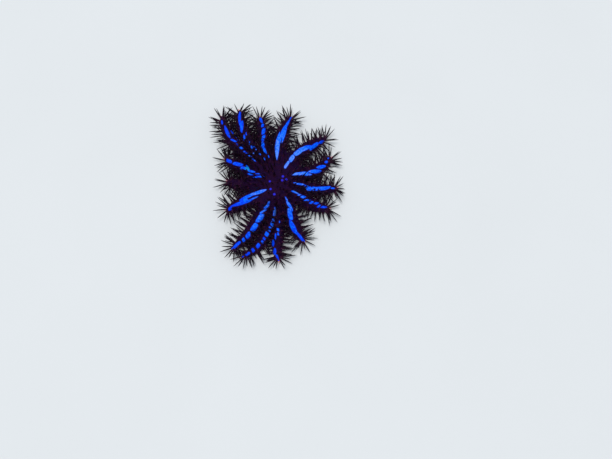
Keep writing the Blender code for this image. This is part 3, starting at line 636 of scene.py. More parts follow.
# The tone of each arm's band at its inner end and at its tip, which it takes between two shares of the arm's
# reach: 0 is deep blue, 0.5 azure and 1 pale blue with lavender flecks. The tones are partly the bands' own
# colour and partly painted light: they are raised towards pale blue where crowded spines shade a band, as at
# the inner ends of the seventh and eighth arms.
BAND_TONES_AND_PAINTED_LIGHT = np.array(
    [
        (0.98, 0.25), (1.05, 0.10), (0.90, 0.15), (0.60, 0.35), (0.75, 0.10),
        (0.80, 0.05), (0.85, 0.00), (0.95, 0.00), (0.80, 0.10), (0.90, -0.15),
        (0.00, 0.00), (0.35, 0.05), (0.50, -0.10), (0.75, 0.00), (0.45, 0.15),
    ]
)
TONE_START, TONE_SPAN = 0.25, 0.70
# Dark dots within the fourth arm's band: way out and place to the left.
DARK_DOTS = ((79.0, 0.8), (86.5, -4.6), (94.5, -4.4))
DOTTED_ARM = 3
DOT_RADIUS = 1.7
# A greenish place in the twelfth arm's band: way out, place to the left and half size each way.
TEAL_ARM = 11
TEAL_PATCH = (66.0, -1.0, 10.0, 9.0)
# Violet spots on the disc, each over a sieve plate: direction, and way from the centre in metres.
SIEVE_PLACES = (
    (206.0, 0.0147), (19.0, 0.0158), (-5.0, 0.0223),
    (-16.0, 0.0138), (-96.0, 0.0349), (-116.0, 0.0262),
)
SPOT_RADIUS = 2.6
GROOVE_TONE_WIDTH = 0.0042
# The least upward part of the normal where the skin can be blue.
FACES_UP = -0.1
# Colours, two where clouds of one lie on the other.
LEATHER = ((0.007, 0.0012, 0.018), (0.015, 0.0018, 0.017))
LEATHER_GRAIN = (0.019, 0.004, 0.045)
SOLE = ((0.24, 0.15, 0.11), (0.15, 0.075, 0.095))
SOLE_GRAIN = (0.36, 0.25, 0.18)
GROOVE = ((0.34, 0.22, 0.11), (0.50, 0.36, 0.20))
DEEP_BLUE = (0.001, 0.038, 0.76)
AZURE = (0.001, 0.130, 1.0)
PALE_BLUE = ((0.055, 0.250, 1.0), (0.170, 0.230, 0.96))
TEAL = (0.004, 0.26, 0.50)
STROKE_RIM = (0.001, 0.018, 0.58)
STROKE_HALO = (0.006, 0.004, 0.075)
SPOT_VIOLET = (0.014, 0.011, 0.36)


def band_depth(points, upwards):
    """How deep a point is in a blue stroke, in millimetres, and below zero outside all strokes.

    The depth is the half width there less the distance from the stroke's own line. The half width falls off
    with the way from the stroke's middle: as one minus the way's 2.2nd power, to the power 0.8, where the
    stroke runs to points, and as the root of one minus the way's fourth power where it is cut off. The depth
    is also never more than the way to the nearer end, and the way along is measured on the slant of the ends.
    """
    arm, radius, _, aside = locate(points)
    out, left = radius * 1000.0, aside * 1000.0
    depth = np.full(len(points), OUTSIDE)
    for number, start, end, left_start, left_end, half, cut in STROKES:
        own = np.flatnonzero(arm == int(number) - 1)
        share = (out[own] - cut * (left[own] - 0.5 * (left_start + left_end)) - start) / (end - start)
        power, root = CUT_SWELL if cut else POINTED_SWELL
        swell = np.maximum(1.0 - np.abs(2.0 * share - 1.0) ** power, 0.0) ** root
        aside_from = np.abs(left[own] - left_start - (left_end - left_start) * share)
        ends = (0.5 - np.abs(share - 0.5)) * (end - start) - STROKE_GAP
        depth[own] = np.maximum(depth[own], np.minimum(STROKE_SHARE * half * swell - aside_from, ends))
    for dot_out, dot_left in DARK_DOTS:
        away = np.hypot(out - dot_out, left - dot_left) - DOT_RADIUS
        depth = np.where(arm == DOTTED_ARM, np.minimum(depth, away), depth)
    return np.where(upwards, depth, OUTSIDE)


def spot_depth(points):
    """How deep a point is in a violet spot of the disc, in millimetres."""
    turn, away = np.array(SIEVE_PLACES).T
    spots = np.stack(polar(away, np.radians(turn)), axis=-1)
    gaps = np.linalg.norm(points[:, None, :2] - spots[None], axis=-1)
    return SPOT_RADIUS - 1000.0 * gaps.min(axis=1)


def add_attribute(mesh, name, values):
    """Gives each point of a mesh a number that a finish can read."""
    mesh.attributes.new(name, "FLOAT", "POINT").data.foreach_set("value", np.asarray(values, np.float32))


def vertex_array(mesh, what="co"):
    """The points of a mesh, or their normals."""
    values = np.zeros(len(mesh.vertices) * 3, np.float32)
    mesh.vertices.foreach_get(what, values)
    return values.reshape(-1, 3).astype(float)


def skin_ripples(points):
    """Low uneven swellings of the skin, in metres: three crossing waves, each bent by another."""
    x, y = points[:, 0], points[:, 1]
    first = np.sin(610.0 * x + 3.0 * np.sin(170.0 * y))
    second = np.sin(540.0 * y + 2.5 * np.sin(230.0 * x + 1.0))
    third = np.sin(900.0 * (x + y) + 2.0 * np.sin(400.0 * (x - y)))
    return 0.00016 * first + 0.00016 * second + 0.00008 * third


def mark_skin(mesh):
    """Gives each point its ripple, its depth in the bands and spots, and its band's tone there, partly
    painted light.

    The sole's colour comes in where the skin faces down, and the groove's near an arm's line.
    """
    points, normals = vertex_array(mesh), vertex_array(mesh, "normal")
    upper = normals[:, 2] > FACES_UP
    points = points + normals * (skin_ripples(points) * upper)[:, None]
    points[:, 2] = np.maximum(points[:, 2], 0.0)
    mesh.vertices.foreach_set("co", points.astype(np.float32).ravel())
    arm, radius, _, aside = locate(points)
    # Each arm's band tone: partly its own colour and partly painted light, paler where crowded spines shade
    # the band.
    inner, outer = BAND_TONES_AND_PAINTED_LIGHT[arm].T
    tone_and_painted_light = inner + (outer - inner) * smooth_step((radius / ARMS[arm, 3] - TONE_START) / TONE_SPAN)
    out, left, half_out, half_left = TEAL_PATCH
    patch = np.hypot((radius * 1000.0 - out) / half_out, (aside * 1000.0 - left) / half_left)
    add_attribute(mesh, "band", band_depth(points, upper))
    add_attribute(mesh, "spot", np.where(upper, spot_depth(points), OUTSIDE))
    add_attribute(mesh, "tone_and_painted_light", tone_and_painted_light)
    add_attribute(mesh, "teal", (1.0 - smooth_step(patch)) * (arm == TEAL_ARM))
    add_attribute(mesh, "sole", smooth_step(-2.5 * normals[:, 2] - 0.5))
    add_attribute(mesh, "groove", 1.0 - smooth_step(np.abs(aside) / GROOVE_TONE_WIDTH - 0.4))


def skin_finish():
    """Dark purple leather with maroon and violet clouds and velvety grain, blue bands and violet spots.

    The bands' edges are made ragged by noise. Just inside them the blue is deeper, and just outside a dim
    halo lies on the leather.
    """
    finish = Finish("banded_purple_skin")
    clouds, fine = finish.noise(70.0, 4.0), finish.noise(420.0, 3.0, 0.6)
    purple = finish.mix(finish.ease(clouds, 0.35, 0.65), *LEATHER)
    purple = finish.mix(finish.ease(fine, 0.45, 0.75), purple, LEATHER_GRAIN)
    sole = finish.mix(finish.ease(clouds, 0.38, 0.62), *SOLE)
    sole = finish.mix(finish.ease(fine, 0.35, 0.70), sole, SOLE_GRAIN)
    sole = finish.mix(finish.attribute("groove"), sole, finish.mix(fine, *GROOVE))
    base = finish.mix(finish.attribute("sole"), purple, sole)
    ragged = finish.sum(finish.attribute("band"), finish.sum(finish.noise(650.0, 2.0), -0.5), 0.7)
    inside = (ragged, -0.15, 0.15)
    grain = finish.ease(finish.noise(240.0, 4.0, 0.7), 0.38, 0.62, -0.30, 0.30)
    # The band's tone with grain: partly its own colour and partly painted light, paler where spines shade the
    # band.
    tone_and_painted_light = finish.sum(finish.attribute("tone_and_painted_light"), grain)
    blue = finish.mix(finish.ease(tone_and_painted_light, 0.0, 0.5), DEEP_BLUE, AZURE)
    pale = finish.mix(finish.ease(fine, 0.46, 0.66), *PALE_BLUE)
    blue = finish.mix(finish.ease(tone_and_painted_light, 0.5, 1.0), blue, pale)
    blue = finish.mix(finish.attribute("teal"), blue, TEAL)
    blue = finish.mix(finish.ease(ragged, 0.0, 1.2, 0.85, 0.0), blue, STROKE_RIM)
    halo = finish.mix(finish.ease(ragged, -1.4, 0.0), base, STROKE_HALO)
    colour = finish.mix(finish.ease(*inside), halo, blue)
    spotted = finish.sum(finish.attribute("spot"), finish.sum(fine, -0.5), 1.5)
    colour = finish.mix(finish.ease(spotted, -0.6, 0.6, 0.0, 0.9), colour, SPOT_VIOLET)
    granules = finish.bump(finish.cells(900.0), finish.ease(*inside, 0.0005, 0.0002))
    folds = finish.bump(finish.noise(260.0, 4.0, 0.65), finish.ease(*inside, 0.0012, 0.0004), granules)
    rough = finish.ease(fine, 0.3, 0.7, 0.46, 0.66)
    finish.shade(Base_Color=colour, Roughness=rough, Normal=folds, Specular_IOR_Level=0.035)
    return finish.material


def place_piece(name, mesh, material):
    """Puts a finished mesh in the scene as a piece of the animal."""
    mesh.materials.append(material)
    mesh.shade_smooth()
    piece = bpy.data.objects.new(name, mesh)
    bpy.context.scene.collection.objects.link(piece)
    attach(piece, "root")
    return piece


skin_surface = joined("skin", skin_sheets(), SMOOTHING_ROUNDS)
mark_skin(skin_surface)
skin = place_piece("skin", skin_surface, skin_finish())
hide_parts("disc", *[f"arm_{number:02d}" for number in range(1, ARM_COUNT + 1)])


# Spines
# Long chalk thorns in a sheath of dark skin, each on a swollen foot. They stand in rows along every arm, fan
# out round its tip and lean outwards on the disc, so that none lies in a neighbouring arm or in the floor.
# Rows: place across the arm; height up its side wall, which counts where the place is 1; spacing; length; and
# lean from upright towards the side and ahead.
SPINE_ROWS = (
    (0.36, 1.00, 0.0180, 0.024, 20.0, 12.0),
    (0.62, 1.00, 0.0150, 0.028, 36.0, 14.0),
    (0.86, 1.00, 0.0125, 0.031, 54.0, 16.0),
    (1.00, 0.66, 0.0115, 0.031, 74.0, 18.0),
    (1.00, 0.28, 0.0130, 0.023, 82.0, 20.0),
    (1.00, 0.05, 0.0085, 0.011, 84.0, 24.0),
)
# Where a row starts and how much of the arm it takes, and its shift on each side, in spacings. No root is
# nearer to the arm's edge or tip than the place named for that.
ROW_START, ROW_SHARE = 0.02, 0.95
LEFT_SHIFT, RIGHT_SHIFT = 0.25, 0.7
LEAST_IN_ROW = 3
NEAR_EDGE = 0.985
MOST_LEAN = 86.0
SWEEP_AT_TIP = 26.0
SHORTER_AT_TIP = 0.10
# How uneven a row is: in spacings along it, as a share of the place across, and in its two leans.
ROW_UNEVEN, PLACE_UNEVEN = 0.22, 0.07
LEAN_UNEVEN, AHEAD_UNEVEN = 7.0, 10.0
ROW_LENGTHS = (0.84, 1.12)
# Tiers of the fan round a tip: rise, share of the height that its roots stand at, length, and turns from the
# arm's line. The roots lie on an oval, of which the middle and the half length and half width follow.
TIP_FANS = (
    (8.0, 0.72, 0.0315, (-82, -50, -17, 17, 50, 82)),
    (36.0, 0.93, 0.0300, (-68, -32, 32, 68)),
)
FAN_MIDDLE, FAN_HALF_LENGTH, FAN_HALF_WIDTH = 1.93, 0.05, 0.92
FAN_TURN_UNEVEN, FAN_RISE_UNEVEN = 6.0, 5.0
FAN_LENGTHS = (0.88, 1.08)
# Rings of the disc's spines: share of the way to its rim, and number. Then the lean and the share of the
# length in the middle, each with what the rim adds.
DISC_SPINE_RINGS = ((0.10, 4), (0.24, 8), (0.38, 13), (0.52, 18), (0.66, 23), (0.80, 28), (0.94, 34))
DISC_SPINE_LENGTH = 0.028
DISC_LEAN, DISC_LEAN_GAIN = 0.12, 0.42
DISC_SHARE, DISC_SHARE_GAIN = 0.80, 0.34
RING_UNEVEN, RING_OUT_UNEVEN, RING_LEAN_UNEVEN = 0.3, 0.05, 0.12
DISC_LENGTHS = (0.86, 1.14)
# Depths in strokes and spots, in millimetres, above which no spine stands.
BARE_DEPTH = -0.5
BARE_SPOT_DEPTH = -2.4
# The least room between a wall spine's root and the next arm, and between a spine and another arm, the floor
# and the solid model's box.
CROWDED_ROOM = 0.0025
SPINE_ROOM = 0.0016
FLOOR_ROOM = 0.0012
BOX_ROOM = 0.0003
# A blocked spine is turned up in each of these rounds, and from a later one on it is shortened too.
CLEARING_ROUNDS, TURNING_ROUNDS = 16, 10
CLEARING_LIFT, CLEARING_SHARE = 0.16, 0.88
CLEARING_LOOKS = (0.4, 0.7, 1.0)
# Turns that a spine may take so as not to stand over a stroke, and what a turn costs, in millimetres of depth
# in strokes per radian.
SPINE_TURNS = (0, 18, -18, 36, -36, 54, -54, 72, -72)
TURN_COST = 0.4
TURNING_LOOKS = (0.4, 0.6, 0.8, 1.0)
SPINE_GIRTH = 0.00140
SPINE_GIRTHS = (0.88, 1.12)
# The share of its girth that the shortest spine has, and the length that would add a whole one.
SHORT_GIRTH_SHARE, GIRTH_GAIN_LENGTH = 0.45, 0.045
SPINE_SIDES = 7
SPINE_BEND = 0.05
# Rings of a spine: share of its length and of its girth. The first ones are the foot, sunk in the skin.
SPINE_RINGS = (
    (-0.08, 1.85), (0.02, 1.75), (0.07, 1.20), (0.14, 1.0),
    (0.42, 0.99), (0.68, 0.75), (0.87, 0.44), (1.0, 0.05),
)
SPINE_SEED = 5
# The skin swells up round each root, with this rise and radius.
MOUND_RISE = 0.0011
MOUND_RADIUS = 0.0026
MOUND_BATCH = 40
# Colours of the sheath round the foot, of the shaft and of its point.
SHEATH = ((0.020, 0.004, 0.020), (0.044, 0.007, 0.026))
SHAFT = ((0.004, 0.002, 0.007), (0.013, 0.004, 0.011))
WORN_POINT = (0.050, 0.018, 0.030)


def either_way(chance, amount, shape):
    """Chance values between minus the amount and the amount."""
    return chance.uniform(-amount, amount, shape)


def leaning(up, side_way, ahead, lean, forward):
    """Directions that lean from upright towards the side and ahead, by angles in degrees."""
    lean, forward = np.radians(np.minimum(lean, MOST_LEAN)), np.radians(forward)
    return unit(up + np.tan(lean)[..., None] * side_way + np.tan(forward)[..., None] * ahead)


def arm_directions(arm, u, f):
    """Level directions towards the tip and towards the nearer side of an arm, from a small step along it."""
    step = 0.01
    ahead = upper_point(arm, 0.0 * u, f + step) - upper_point(arm, 0.0 * u, f - step)
    ahead = unit(ahead * [1.0, 1.0, 0.0])
    left = np.stack([-ahead[..., 1], ahead[..., 0], 0.0 * ahead[..., 0]], axis=-1)
    return ahead, left * np.sign(u)[..., None]


def turned_aside(roots, ways, lengths):
    """The ways, each turned about the upright so that its spine stands over as little blue as it can.

    Some points of a spine are looked at. The turn is taken whose depths in strokes and spots, added to what
    it costs, come to the least.
    """
    best, least = ways, np.full(len(roots), np.inf)
    for turn in np.radians(SPINE_TURNS):
        across = math.cos(turn) * ways[:, 0] - math.sin(turn) * ways[:, 1]
        onward = math.sin(turn) * ways[:, 0] + math.cos(turn) * ways[:, 1]
        turned = np.stack([across, onward, ways[:, 2]], axis=-1)
        cost = np.full(len(roots), TURN_COST * abs(turn))
        for share in TURNING_LOOKS:
            points = roots + (share * lengths)[:, None] * turned
            cost += np.maximum(np.maximum(band_depth(points, True), spot_depth(points)), 0.0)
        best = np.where((cost < least)[:, None], turned, best)
        least = np.minimum(cost, least)
    return best


def spine_row(arm, row, side, chance):
    """Roots, directions, lengths and places on the map of one row on one side of an arm.

    The roots stand at even steps, moved a little. The lean ahead grows with the square of the way along.
    """
    place, level, spacing, length, lean, forward = row
    on_wall = place == 1.0
    count = max(LEAST_IN_ROW, round(ROW_SHARE * float(arm_length(arm)) / spacing))
    shift = LEFT_SHIFT if side > 0 else RIGHT_SHIFT
    t = ROW_START + ROW_SHARE * (np.arange(count) + shift + either_way(chance, ROW_UNEVEN, count)) / count
    across = place * (1.0 + either_way(chance, PLACE_UNEVEN, count))
    u = side * np.minimum(across, NEAR_EDGE if on_wall else 1.0)
    f = 1.0 + np.clip(t, 0.0, NEAR_EDGE)
    side_top, top = upper_heights(u, f)
    low = lower_height(np.sign(u), f)
    z = low + (side_top - low) * level if on_wall else top
    roots = np.stack([*plan(arm, u, f), z], axis=-1)
    ahead, aside = arm_directions(arm, u, f)
    lean = lean + either_way(chance, LEAN_UNEVEN, count)
    forward = forward + SWEEP_AT_TIP * t**2 + either_way(chance, AHEAD_UNEVEN, count)
    ways = leaning(np.array([0.0, 0.0, 1.0]), aside, ahead, lean, forward)
    lengths = length * (1.0 - SHORTER_AT_TIP * t) * chance.uniform(*ROW_LENGTHS, count)
    _, radius, off, _ = locate(roots)
    room = radius * (half_spacing(arm, radius, side) - np.abs(off))
    keep = (room > CROWDED_ROOM) if on_wall else band_depth(roots, True) < BARE_DEPTH
    return roots[keep], ways[keep], lengths[keep], upper_place(arm, u, f, level)[keep]


def tip_fans(arm, chance):
    """Tiers of spines round an arm's tip, the lower one spread wider."""
    found = []
    for rise, height, length, angles in TIP_FANS:
        count = len(angles)
        turn = np.radians(np.array(angles) + either_way(chance, FAN_TURN_UNEVEN, count))
        lift = np.radians(rise + either_way(chance, FAN_RISE_UNEVEN, count))
        u, f = FAN_HALF_WIDTH * np.sin(turn), FAN_MIDDLE + FAN_HALF_LENGTH * np.cos(turn)
        ahead, aside = arm_directions(arm, np.full(count, 1.0), f)
        level = np.cos(turn)[:, None] * ahead + np.sin(turn)[:, None] * aside
        ways = np.cos(lift)[:, None] * level + np.sin(lift)[:, None] * np.array([0.0, 0.0, 1.0])
        roots = upper_point(arm, u, f)
        roots[:, 2] = roots[:, 2] * height
        lengths = length * chance.uniform(*FAN_LENGTHS, count)
        found.append((roots, ways, lengths, upper_place(arm, u, f)))
    return found


def disc_ring(f, count, chance):
    """A ring of spines on the disc, leaning away from its middle, the more the farther out they stand."""
    place = ARM_COUNT * (np.arange(count) + either_way(chance, RING_UNEVEN, count)) / count % ARM_COUNT
    arm = np.floor(place).astype(int) % ARM_COUNT
    u = 2.0 * (place - np.floor(place)) - 1.0
    f = np.clip(f + either_way(chance, RING_OUT_UNEVEN, count), 0.05, 0.99)
    roots = upper_point(arm, u, f)
    away = unit((roots - disc_middle) * [1.0, 1.0, 0.0]) * (DISC_LEAN + DISC_LEAN_GAIN * f)[:, None]
    ways = unit(np.array([0.0, 0.0, 1.0]) + away + either_way(chance, RING_LEAN_UNEVEN, (count, 3)))
    lengths = DISC_SPINE_LENGTH * (DISC_SHARE + DISC_SHARE_GAIN * f) * chance.uniform(*DISC_LENGTHS, count)
    keep = (band_depth(roots, True) < BARE_DEPTH) & (spot_depth(roots) < BARE_SPOT_DEPTH)
    return roots[keep], ways[keep], lengths[keep], upper_place(arm, u, f)[keep]


def blocked(points, owner):
    """Whether points are in the floor, or in or close over the body outside the owner's own sector.

    Each point's place across and along the body is worked back from its radius and direction.
    """
    arm, radius, off, _ = locate(points)
    side = np.where(off >= 0, 1, -1)
    limit = half_spacing(arm, radius, side)
    ring = ring_radius(arm, side * np.minimum(np.abs(off) / limit, 1.0))
    t = (radius - ring) / arm_length(arm)
    on_disc = t <= 0.0
    width = natural_half_width(np.clip(t, 0.0, 1.0)) / np.sqrt(1.0 - skew(arm, radius) ** 2)
    spread = np.where(on_disc, limit, np.minimum(width / radius, limit)) + SPINE_ROOM / radius
    u = np.clip(np.abs(off) / spread, 0.0, 1.0)
    surface = upper_heights(u, np.where(on_disc, radius / ring, 1.0 + np.clip(t, 0.0, 1.0)))[1]
    over = (np.abs(off) < spread) & (t < 1.0 + SPINE_ROOM / arm_length(arm)) & ((arm != owner) | on_disc)
    return (over & (points[..., 2] < surface + SPINE_ROOM)) | (points[..., 2] < FLOOR_ROOM)


def cleared(roots, ways, lengths, owner):
    """Turns spines upwards, little by little, until they are clear, and shortens those that stay blocked."""
    for attempt in range(CLEARING_ROUNDS):
        hit = np.zeros(len(roots), bool)
        for share in CLEARING_LOOKS:
            hit |= blocked(roots + (share * lengths)[:, None] * ways, owner)
        if not hit.any():
            break
        ways = np.where(hit[:, None], unit(ways + [0.0, 0.0, CLEARING_LIFT]), ways)
        lengths = np.where(hit & (attempt >= TURNING_ROUNDS), CLEARING_SHARE * lengths, lengths)
    return ways, lengths


def kept_in_box(roots, ways, lengths):
    """Shortens spines that would pass the solid model's box: none is longer than its room over its way."""
    low, high = np.array(solid_low) + BOX_ROOM, np.array(solid_high) - BOX_ROOM
    room = np.where(ways > 0, high - roots, low - roots) / np.where(np.abs(ways) < 1e-6, 1e-6, ways)
    return np.minimum(lengths, room.min(axis=1))


def rods(name, roots, ways, lengths, girths, rings, sides, bends, patches, patch_size=0.003):
    """A mesh of round rods. Each ring lies at a share of the rod's length, as wide as a share of its girth.

    The rod leaves its straight line by its bend times the length and the square of that share. Each rod is a
    small patch of the map, at its root's place.
    """
    shares, radii = np.array(rings).T
    helper = np.where(np.abs(ways[:, 2:]) < 0.9, [[0.0, 0.0, 1.0]], [[1.0, 0.0, 0.0]])
    first = unit(np.cross(ways, helper))
    second = np.cross(ways, first)
    angle = 2.0 * np.pi * np.arange(sides) / sides
    circle = np.cos(angle)[None, :, None] * first[:, None] + np.sin(angle)[None, :, None] * second[:, None]
    along = lengths[:, None] * shares
    centres = roots[:, None] + along[..., None] * ways[:, None] + (along * shares)[..., None] * bends[:, None]
    points = centres[:, :, None] + (girths[:, None] * radii)[:, :, None, None] * circle[:, None]
    index = np.arange(points[..., 0].size).reshape(points.shape[:3])
    beside = np.roll(index, -1, axis=2)
    quads = np.stack([index[:, :-1], beside[:, :-1], beside[:, 1:], index[:, 1:]], axis=-1).reshape(-1, 4)
    wide, high = 1 / sides, 1 / (len(shares) - 1)
    column, row = np.meshgrid(np.arange(sides) / sides, np.arange(len(shares) - 1) / (len(shares) - 1))
    corner_u = np.stack([column, column + wide, column + wide, column], axis=-1) - 0.5
    corner_v = np.stack([row, row, row + high, row + high], axis=-1) - 0.5
    corners = patch_size * np.stack([corner_u, corner_v], axis=-1).reshape(1, -1, 2) + patches[:, None]
    ends = np.concatenate([index[:, 0, ::-1], index[:, -1]])
    end_spots = 0.5 * patch_size * np.stack([np.cos(angle), np.sin(angle)], axis=-1)
    end_corners = (end_spots[None] + np.tile(patches, (2, 1))[:, None]).reshape(-1, 2)
    places = np.concatenate([corners.reshape(-1, 2), end_corners])
    mesh = make_mesh(name, points.reshape(-1, 3), quads.tolist() + ends.tolist(), places)
    add_attribute(mesh, "along", np.broadcast_to(shares[None, :, None], points.shape[:3]).ravel())
    return mesh


def spine_finish():
    """Near-black purple, with a maroon sheath at the foot, a paler worn point, and a fine grain."""
    finish = Finish("dark_thorns")
    along, fine = finish.attribute("along"), finish.noise(500.0, 3.0)
    shaft = finish.mix(finish.ease(fine, 0.35, 0.7), *SHAFT)
    colour = finish.mix(finish.ease(along, 0.05, 0.45), finish.mix(fine, *SHEATH), shaft)
    colour = finish.mix(finish.ease(along, 0.85, 1.0, 0.0, 0.6), colour, WORN_POINT)
    grain = finish.bump(finish.noise(1500.0, 2.0), 0.0002)
    rough = finish.ease(along, 0.1, 0.9, 0.55, 0.38)
    finish.shade(Base_Color=colour, Roughness=rough, Normal=grain, Specular_IOR_Level=0.12)
    return finish.material


def raise_mounds(roots):
    """Lifts the skin round each spine's root along its normal, by a bell curve of the way from the root.

    Points are set only against the roots that lie in the same arm's sector, in batches to save memory.
    """
    mesh = skin.data
    points, normals = vertex_array(mesh), vertex_array(mesh, "normal")
    own, root_own = locate(points)[0], locate(roots)[0]
    lift = np.zeros(len(points))
    for arm in range(ARM_COUNT):
        near = np.flatnonzero(own == arm)
        mine = roots[root_own == arm]
        gaps = np.full(len(near), 1.0)
        for start in range(0, len(mine), MOUND_BATCH):
            part = mine[start:start + MOUND_BATCH]
            gaps = np.minimum(gaps, np.linalg.norm(points[near][:, None] - part[None], axis=-1).min(axis=1))
        lift[near] = MOUND_RISE * np.exp(-((gaps / MOUND_RADIUS) ** 2))
    lift = lift * smooth_step(2.0 * normals[:, 2] + 1.0)
    mesh.vertices.foreach_set("co", (points + normals * lift[:, None]).astype(np.float32).ravel())
    mesh.update()


def make_spines():
    """One piece for each arm's spines and one for the disc's. Short spines are thinner than long ones."""
    chance = np.random.RandomState(SPINE_SEED)
    material = spine_finish()
    groups = [("spines_disc", -1, [disc_ring(f, count, chance) for f, count in DISC_SPINE_RINGS])]
    for arm in range(ARM_COUNT):
        rows = [spine_row(arm, row, side, chance) for row in SPINE_ROWS for side in (1, -1)]
        groups.append((f"spines_arm_{arm + 1:02d}", arm, rows + tip_fans(arm, chance)))
    raise_mounds(np.concatenate([row[0] for _, _, rows in groups for row in rows]))
    for name, owner, rows in groups:
        roots, ways, lengths, patches = (np.concatenate(part) for part in zip(*rows))
        ways = turned_aside(roots, ways, lengths)
        if owner >= 0:
            ways, lengths = cleared(roots, ways, lengths, owner)
        bends = either_way(chance, SPINE_BEND, (len(roots), 3)) * [1.0, 1.0, 0.2]
        lengths = kept_in_box(roots, ways + bends, lengths)
        thinner = np.minimum(1.0, SHORT_GIRTH_SHARE + lengths / GIRTH_GAIN_LENGTH)
        girths = SPINE_GIRTH * chance.uniform(*SPINE_GIRTHS, len(roots)) * thinner
        mesh = rods(name, roots, ways, lengths, girths, SPINE_RINGS, SPINE_SIDES, bends, patches)
        place_piece(name, mesh, material)


make_spines()


# Papulae
# Thousands of small soft skin gills stand between the spines and give the skin its nap. They are closed
# fingers of thin purple skin, a little redder at their tips, and leave the blue strokes bare.
PAPULAE_ON_DISC = 850
PAPULAE_ON_ARM = 340
PAPULAE_ON_WALL = 60
PAPULA_LENGTH = 0.0019
PAPULA_LENGTHS = (0.6, 1.15)
PAPULA_GIRTH = 0.00050
PAPULA_GIRTHS = (0.8, 1.2)
PAPULA_LEAN = 0.35
PAPULA_RINGS = ((-0.35, 1.0), (0.55, 0.86), (1.0, 0.34))
PAPULA_SIDES = 5
GOLDEN_SHARE = 0.618034
# The scatter on an arm's back: its share of the width, how uneven it is across, and along it in steps.
BACK_SHARE = 0.86
ACROSS_UNEVEN, ALONG_UNEVEN = 0.09, 5.0
# On a side wall: start and share of the arm's length, lowest level and share of the height, and size.
WALL_START, WALL_LENGTH = 1.03, 0.94
WALL_LOW, WALL_HIGH = 0.15, 0.8
WALL_SIZE = 0.8
# Depths in strokes and spots, in millimetres, above which no papula stands.
SMOOTH_DEPTH, SMOOTH_SPOT_DEPTH = -0.5, -0.3
PAPULA_FOOT = ((0.010, 0.002, 0.021), (0.018, 0.003, 0.020))
PAPULA_TIP = ((0.025, 0.007, 0.050), (0.048, 0.007, 0.028))


def upper_normal(arm, u, f):
    """Upward unit normal of the upper surface, from its slopes across and along."""
    step = 0.004
    across = upper_point(arm, u + step, f) - upper_point(arm, u - step, f)
    along = upper_point(arm, u, f + step) - upper_point(arm, u, f - step)
    normal = unit(np.cross(across, along))
    return normal * np.sign(normal[..., 2:])


def papula_rods(roots, ways, patches, chance, size=1.0):
    """Papulae at their roots, ready for rods: they lean unevenly and differ in length and girth."""
    ways = unit(ways + either_way(chance, PAPULA_LEAN, ways.shape))
    lengths = size * PAPULA_LENGTH * chance.uniform(*PAPULA_LENGTHS, len(roots))
    girths = PAPULA_GIRTH * chance.uniform(*PAPULA_GIRTHS, len(roots))
    return roots, ways, lengths, girths, np.zeros(roots.shape), patches


def back_papulae(chance):
    """Papulae on a spiral over the disc and in an even scatter over each arm's back.

    The spiral's radius grows with the root of its number, and each one is turned on by the golden share of a
    circle. On an arm the place across moves on by that share. None stands in a stroke or a spot.
    """
    number = np.arange(PAPULAE_ON_DISC) + 0.5
    place = ARM_COUNT * (number * GOLDEN_SHARE % 1.0)
    arms, u = [np.floor(place).astype(int)], [2.0 * (place % 1.0) - 1.0]
    f = [np.sqrt(number / PAPULAE_ON_DISC)]
    for arm in range(ARM_COUNT):
        number = np.arange(PAPULAE_ON_ARM) + chance.uniform()
        arms.append(np.full(PAPULAE_ON_ARM, arm))
        spread = 2.0 * (number * GOLDEN_SHARE % 1.0) - 1.0
        spread = spread + either_way(chance, ACROSS_UNEVEN, PAPULAE_ON_ARM)
        u.append(np.sin(0.5 * np.pi * BACK_SHARE * spread))
        number = number + either_way(chance, ALONG_UNEVEN, PAPULAE_ON_ARM)
        f.append(1.0 + NEAR_EDGE * number / PAPULAE_ON_ARM)
    arm, u, f = (np.concatenate(part) for part in (arms, u, f))
    u, f = np.clip(u, -NEAR_EDGE, NEAR_EDGE), np.clip(f, 0.0, 1.0 + NEAR_EDGE)
    roots = upper_point(arm, u, f)
    keep = (band_depth(roots, True) <= SMOOTH_DEPTH) & (spot_depth(roots) <= SMOOTH_SPOT_DEPTH)
    arm, u, f = arm[keep], u[keep], f[keep]
    return papula_rods(roots[keep], upper_normal(arm, u, f), upper_place(arm, u, f), chance)


def wall_papulae(side, chance):
    """Papulae on one side wall of every arm, at even steps along.

    Their height moves on by the golden share of the wall's.
    """
    number = np.tile(np.arange(PAPULAE_ON_WALL) + 0.5, ARM_COUNT)
    arm = np.repeat(np.arange(ARM_COUNT), PAPULAE_ON_WALL)
    f = WALL_START + WALL_LENGTH * number / PAPULAE_ON_WALL
    level = WALL_LOW + WALL_HIGH * (number * GOLDEN_SHARE % 1.0)
    low, top = lower_height(side, f), upper_heights(side, f)[0]
    roots = np.stack([*plan(arm, side, f), low + (top - low) * level], axis=-1)
    _, aside = arm_directions(arm, np.full(len(arm), side), f)
    return papula_rods(roots, aside, upper_place(arm, side, f, level), chance, WALL_SIZE)


